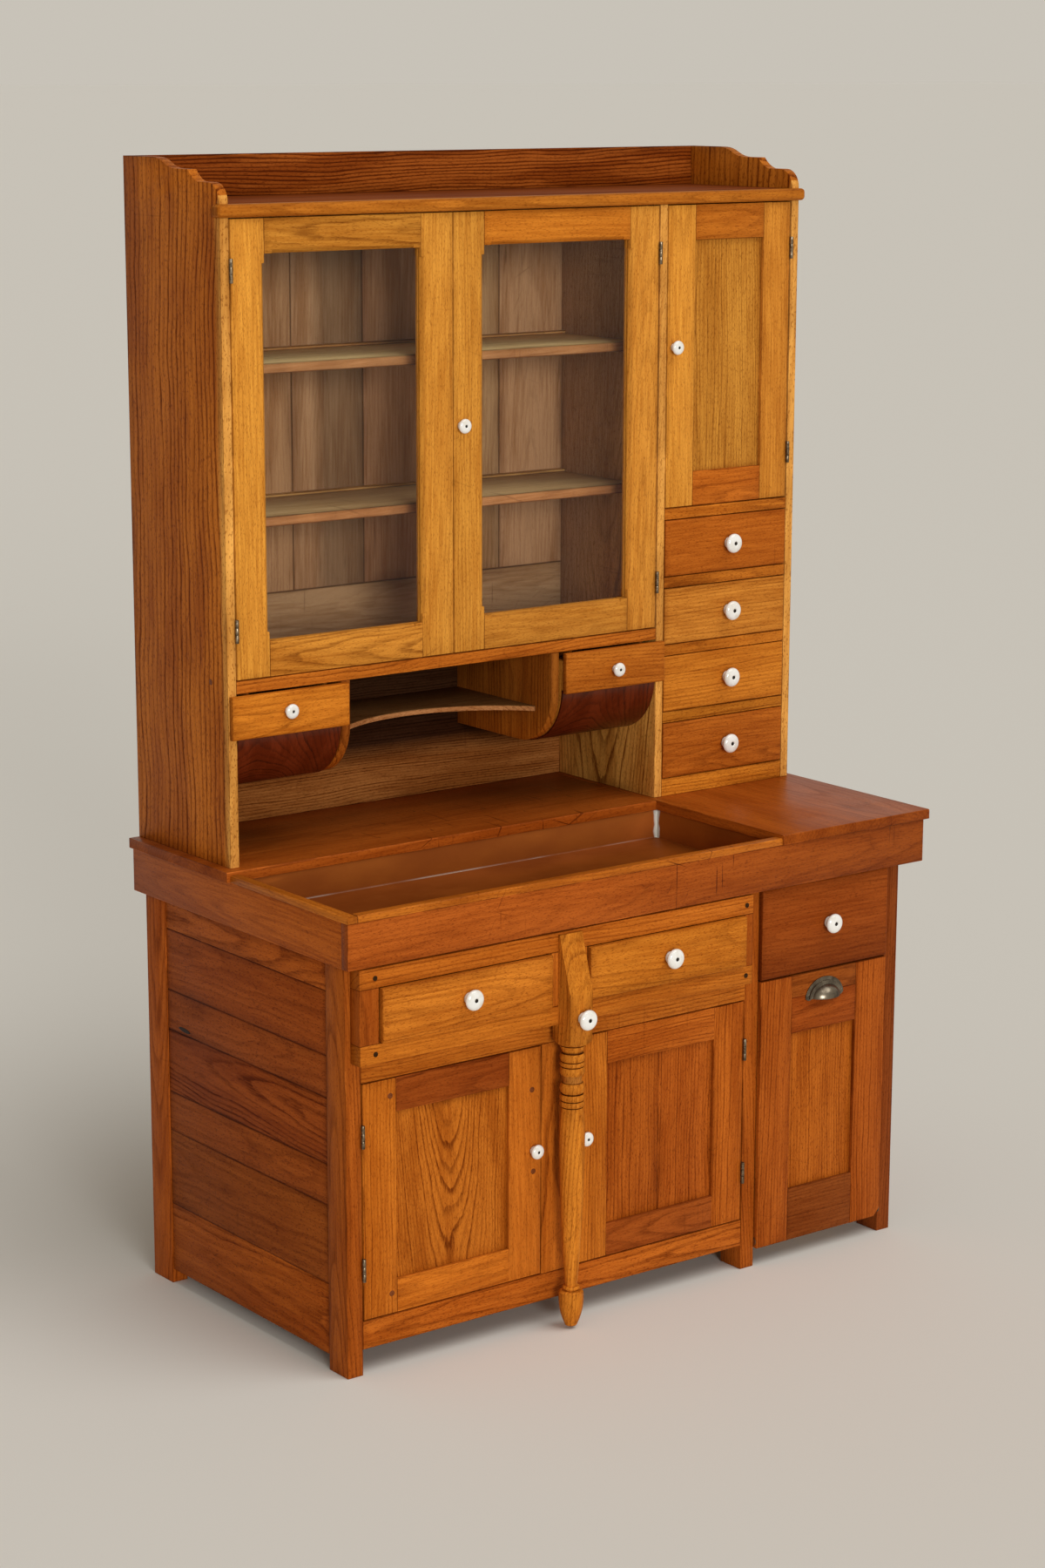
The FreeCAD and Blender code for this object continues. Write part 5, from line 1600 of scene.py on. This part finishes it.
@dataclass
class BaseFronts(Assembly):
    """The doors, the big drawer and the flour bin in the base."""

    stile: BoardLook = BoardLook(Tone.AMBER, cut=Cut.QUARTER)
    plain_stile: BoardLook = BoardLook(Tone.AMBER, lively=0.35)
    red_rail: BoardLook = BoardLook(Tone.BRICK, lively=0.9)
    rail: BoardLook = BoardLook(Tone.AMBER, lively=0.8)
    bold_panel: BoardLook = BoardLook(Tone.AMBER, Oak.OPEN, 1.2, Cut.PLAIN, rings=0.9, flame=7.0)
    dark_panel: BoardLook = BoardLook(Tone.CHESTNUT, Oak.OPEN, cut=Cut.QUARTER)
    dark_stile: BoardLook = BoardLook(Tone.RUSSET)
    # Painted shade: the flour bin's bottom rail takes a darker tone, as the light falls off towards the lower
    # right.
    low_rail: BoardLook = BoardLook(Tone.UMBER, lively=0.7)
    flour_stile: BoardLook = BoardLook(Tone.CHESTNUT)
    drawer: BoardLook = BoardLook(Tone.BRICK, lively=0.4, ease=0.0016)
    flour_panel: BoardLook = BoardLook(Tone.RUSSET, Oak.OPEN, cut=Cut.QUARTER)
    # Painted shade: the big drawer's front darkens towards its lower edge, where the light falls off.
    drawer_foot: Tint = (0.60, 0.55, 0.60)

    def oak(self) -> dict[str, NodeLook]:
        """Says how the boards of each oak node are dressed.

        Returns:
            The looks of each node's boards, by the board's number.
        """
        low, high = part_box("big_drawer")
        drawer = replace(self.drawer, fade=Fade(Axis.Z, (low.z + high.z) / 2, low.z, self.drawer_foot))
        return {
            "base_door_left": {
                REST: self.bold_panel, 0: self.stile, 1: self.plain_stile, 2: self.rail, 3: self.red_rail,
            },
            "base_door_right": {
                REST: self.dark_panel, 0: self.stile, 1: self.dark_stile, 2: self.red_rail,
                3: self.dark_stile,
            },
            "big_drawer": {REST: DEAL, 0: drawer},
            "flour_bin": {
                REST: DEAL, 0: self.flour_stile, 1: self.flour_stile, 2: self.low_rail, 3: self.red_rail,
                4: self.red_rail, 5: self.flour_panel,
            },
        }


@dataclass
class WorkTable(Assembly):
    """The pull-out table: its frame, two drawers and turned leg."""

    rail: BoardLook = BoardLook(Tone.AMBER, lively=0.8)
    stile: BoardLook = BoardLook(Tone.CHESTNUT, lively=0.6)
    drawer: BoardLook = BoardLook(Tone.HONEY, Oak.OPEN, 0.6, Cut.PLAIN, ease=0.0022)
    leg: BoardLook = BoardLook(Tone.HONEY, Oak.OPEN, 0.7, ease=0.0)

    def oak(self) -> dict[str, NodeLook]:
        """Says how the boards of each oak node are dressed.

        Returns:
            The looks of each node's boards, by the board's number.
        """
        front = {0: self.rail, 1: self.rail, 2: self.stile, 3: self.rail, 4: self.stile}
        return {
            "table_frame": {REST: DRAB, 5: self.rail, **front},
            "table_drawer_left": {REST: DEAL, 0: self.drawer},
            "table_drawer_right": {REST: DEAL, 0: self.drawer},
        }

    def build(self) -> None:
        """Dresses the table and its turned leg."""
        super().build()
        LegTurner("table_leg", {REST: self.leg}).build()


@dataclass
class Plugs:
    """Dark wooden plugs on the left base door and the upper case's side, and an old split in the left end,
    drawn as a dark sliver of painted shade for its crack.

    The crown's rings are shares of the plug's radius and of how far it stands proud.
    """

    radius: float = 0.0056
    sunk: float = 0.0020
    proud: float = 0.0006
    crown: Rings = ((1.0, 0.4), (0.86, 1.0), (0.1, 0.9))
    door_places: tuple[Span, ...] = (
        (-0.251, 0.4475), (-0.248, 0.2955), (-0.556, 0.4945), (-0.555, 0.1365),
    )
    side_place: Span = (0.118, 1.162)
    split_place: Span = (0.2330, 0.5020)
    split_size: Span = (0.021, 0.0044)
    split_lean: float = math.radians(-3.0)

    def build(self) -> None:
        """Turns one plug and copies it to its places, and draws out the split, a dark sliver of painted
        shade.
        """
        crown = [(share * self.radius, out * self.proud) for share, out in self.crown]
        model = Lathe.small(((self.radius, -self.sunk), *crown)).turn("plug", PLUG_OAK)
        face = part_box("base_door_left")[0].y
        for number, (across, height) in enumerate(self.door_places, start=1):
            plug = set_out(model, Vector((across, face, height)))
            fasten(plug, "base_door_left", f"base_door_left_plug_{number}")
        side = Vector((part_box("hutch_sides")[0].x, *self.side_place))
        fasten(set_out(model, side, Facing.LEFT), "hutch_sides", "hutch_sides_plug_1")
        split = set_out(model, Vector((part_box("end_panels")[0].x, *self.split_place)), Facing.LEFT)
        self.widen(split)
        fasten(split, "end_panels", "end_panels_plug_1")
        bpy.data.objects.remove(model)

    def widen(self, split: Piece) -> None:
        """Draws a plug out into a long, thin split along the board, leaning a little, painted dark for the
        shade in its crack.

        Args:
            split: the plug in the split's place.
        """
        middle = Vector((0.0, *self.split_place))
        pick(split)
        bpy.ops.object.mode_set(mode="EDIT")
        bpy.ops.mesh.select_all(action="SELECT")
        shares = [size / self.radius for size in self.split_size]
        bpy.ops.transform.resize(value=(1.0, *shares), center_override=middle)
        bpy.ops.transform.rotate(value=self.split_lean, orient_axis="X", center_override=middle)
        bpy.ops.object.mode_set(mode="OBJECT")
        split.data.materials.clear()
        split.data.materials.append(SPLIT_SHADE.material())


@dataclass
class Hardware:
    """Every metal fitting: hinges, pivots, screws and the cup pull with its own two screws."""

    pull: str = "bin_cup_pull"
    screws: str = "table_screws"
    pull_plate: float = 0.002
    pull_screw_inset: Span = (0.0036, 0.0085)
    pull_screw: Rings = ((0.0027, -0.0010), (0.0027, 0.0004), (0.0022, 0.0011), (0.0008, 0.0013))
    finishes: dict[str, Finish] = field(default_factory=lambda: {
        "steel_hinge": HINGE_STEEL, "antique_nickel": NICKEL,
    })

    def build(self) -> None:
        """Makes each fitting from its node."""
        for node, slot in SLOT_OF_NODE.items():
            if slot in self.finishes and node != self.pull:
                Fitting(node, BROWN_STEEL if node == self.screws else self.finishes[slot]).build()
        self.fit_pull()

    def fit_pull(self) -> None:
        """Makes the cup pull and drives a screw through each of its ears."""
        low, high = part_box(self.pull)
        across, up = self.pull_screw_inset
        model = Lathe.small(self.pull_screw).turn("pull_screw", NICKEL)
        face = high.y - self.pull_plate
        places = [Vector((x, face, low.z + up)) for x in (low.x + across, high.x - across)]
        screws = [set_out(model, place) for place in places]
        bpy.data.objects.remove(model)
        pull = Fitting(self.pull, NICKEL).build()
        pick(*screws, pull)
        bpy.ops.object.join()


@dataclass
class StudioCamera:
    """The camera, at the photograph's place and angle, in metres, degrees and millimetres of lens."""

    place: Point = (-3.6227, -4.7045, 2.2143)
    yaw: float = 37.007
    pitch: float = 12.751
    roll: float = 0.094
    lens: float = 75.54
    sensor: float = 36.0
    far: float = 500.0
    shift: Span = (0.00615, 0.01542)

    def build(self) -> None:
        """Adds the camera and makes it the scene's."""
        data = bpy.data.cameras.new("camera")
        data.sensor_width = self.sensor
        data.lens = self.lens
        data.shift_x, data.shift_y = self.shift
        data.clip_end = self.far
        camera = bpy.data.objects.new("camera", data)
        turn = Euler((math.radians(90.0 - self.pitch), 0.0, math.radians(-self.yaw))).to_matrix()
        turn = turn @ Matrix.Rotation(math.radians(self.roll), 3, "Z")
        camera.matrix_world = Matrix.Translation(self.place) @ turn.to_4x4()
        bpy.context.scene.collection.objects.link(camera)
        bpy.context.scene.camera = camera


@dataclass(frozen=True)
class FloorFinish(Finish):
    """A plain pale floor."""

    name: str = "floor_pale"
    colour: Colour = paint(234, 230, 222)
    roughness: float = 0.9
    specular: float = 0.1

    def lay(self, sheet: NodeSheet, shader: bpy.types.Node) -> None:
        """Sets the floor's colour, almost without shine.

        Args:
            sheet: the material's sheet.
            shader: its shader.
        """
        sheet.fill(shader.inputs, {
            "Base Color": self.colour,
            "Roughness": self.roughness,
            "Specular IOR Level": self.specular,
        })


@dataclass(frozen=True)
class Lamp:
    """A far, broad lamp that lights the whole floor evenly.

    Towards is the way from the hutch to the lamp, and spread is how broad it looks from there, in degrees.
    """

    name: str
    towards: Point
    spread: float
    strength: float

    def build(self) -> None:
        """Adds the lamp."""
        data = bpy.data.lights.new(self.name, "SUN")
        data.angle = math.radians(self.spread)
        data.energy = self.strength
        lamp = bpy.data.objects.new(self.name, data)
        lamp.rotation_euler = (-Vector(self.towards)).to_track_quat("-Z", "Y").to_euler()
        bpy.context.scene.collection.objects.link(lamp)


@dataclass
class Studio:
    """A plain pale floor, a low soft key from the front left, a broad lamp overhead and an even surround."""

    floor_side: float = 600.0
    key: Lamp = Lamp("key", towards=(-0.34, -1.0, 0.16), spread=22.0, strength=1.66)
    top: Lamp = Lamp("top", towards=(0.25, -0.55, 1.0), spread=45.0, strength=1.15)
    surround: Colour = paint(214, 208, 197)
    surround_light: float = 0.45
    surround_seen: float = 0.86

    def build(self) -> None:
        """Adds the floor, the lamps and the surround."""
        self.lay_floor()
        self.key.build()
        self.top.build()
        self.light_surround()
        bpy.context.scene.view_settings.view_transform = "Standard"

    def lay_floor(self) -> None:
        """Adds the floor."""
        bpy.ops.object.select_all(action="DESELECT")
        bpy.ops.mesh.primitive_plane_add(size=self.floor_side, location=(0.0, 0.0, 0.0))
        floor = bpy.context.active_object
        floor.name = "floor"
        floor.data.materials.append(FloorFinish().material())

    def light_surround(self) -> None:
        """Adds the surround, which looks brighter to the camera, metal and glass than it lights the hutch."""
        world = bpy.data.worlds.new("surround")
        world.use_nodes = True
        sheet = NodeSheet(world.node_tree)
        back = world.node_tree.nodes["Background"].inputs
        path = sheet.add("LightPath").outputs
        rays = [path[name] for name in ("Is Camera Ray", "Is Glossy Ray", "Is Transmission Ray")]
        seen = sheet.math("MAXIMUM", *rays)
        sheet.fill(back, {
            "Color": self.surround,
            "Strength": sheet.ramp(seen, 0.0, 1.0, self.surround_light, self.surround_seen),
        })
        bpy.context.scene.world = world


def main() -> None:
    """Builds the studio and dresses every part of the hutch."""
    logging.basicConfig(level=logging.INFO, format="%(name)s %(message)s")
    StudioCamera().build()
    Studio().build()
    upper = (UpperCase(), UpperDoors(), UpperDrawers())
    base = (SinkTop(), BaseCase(), BaseFronts(), WorkTable())
    for part in (*upper, *base, Knobs(), Plugs(), Hardware()):
        part.build()


if __name__ == "__main__":
    main()
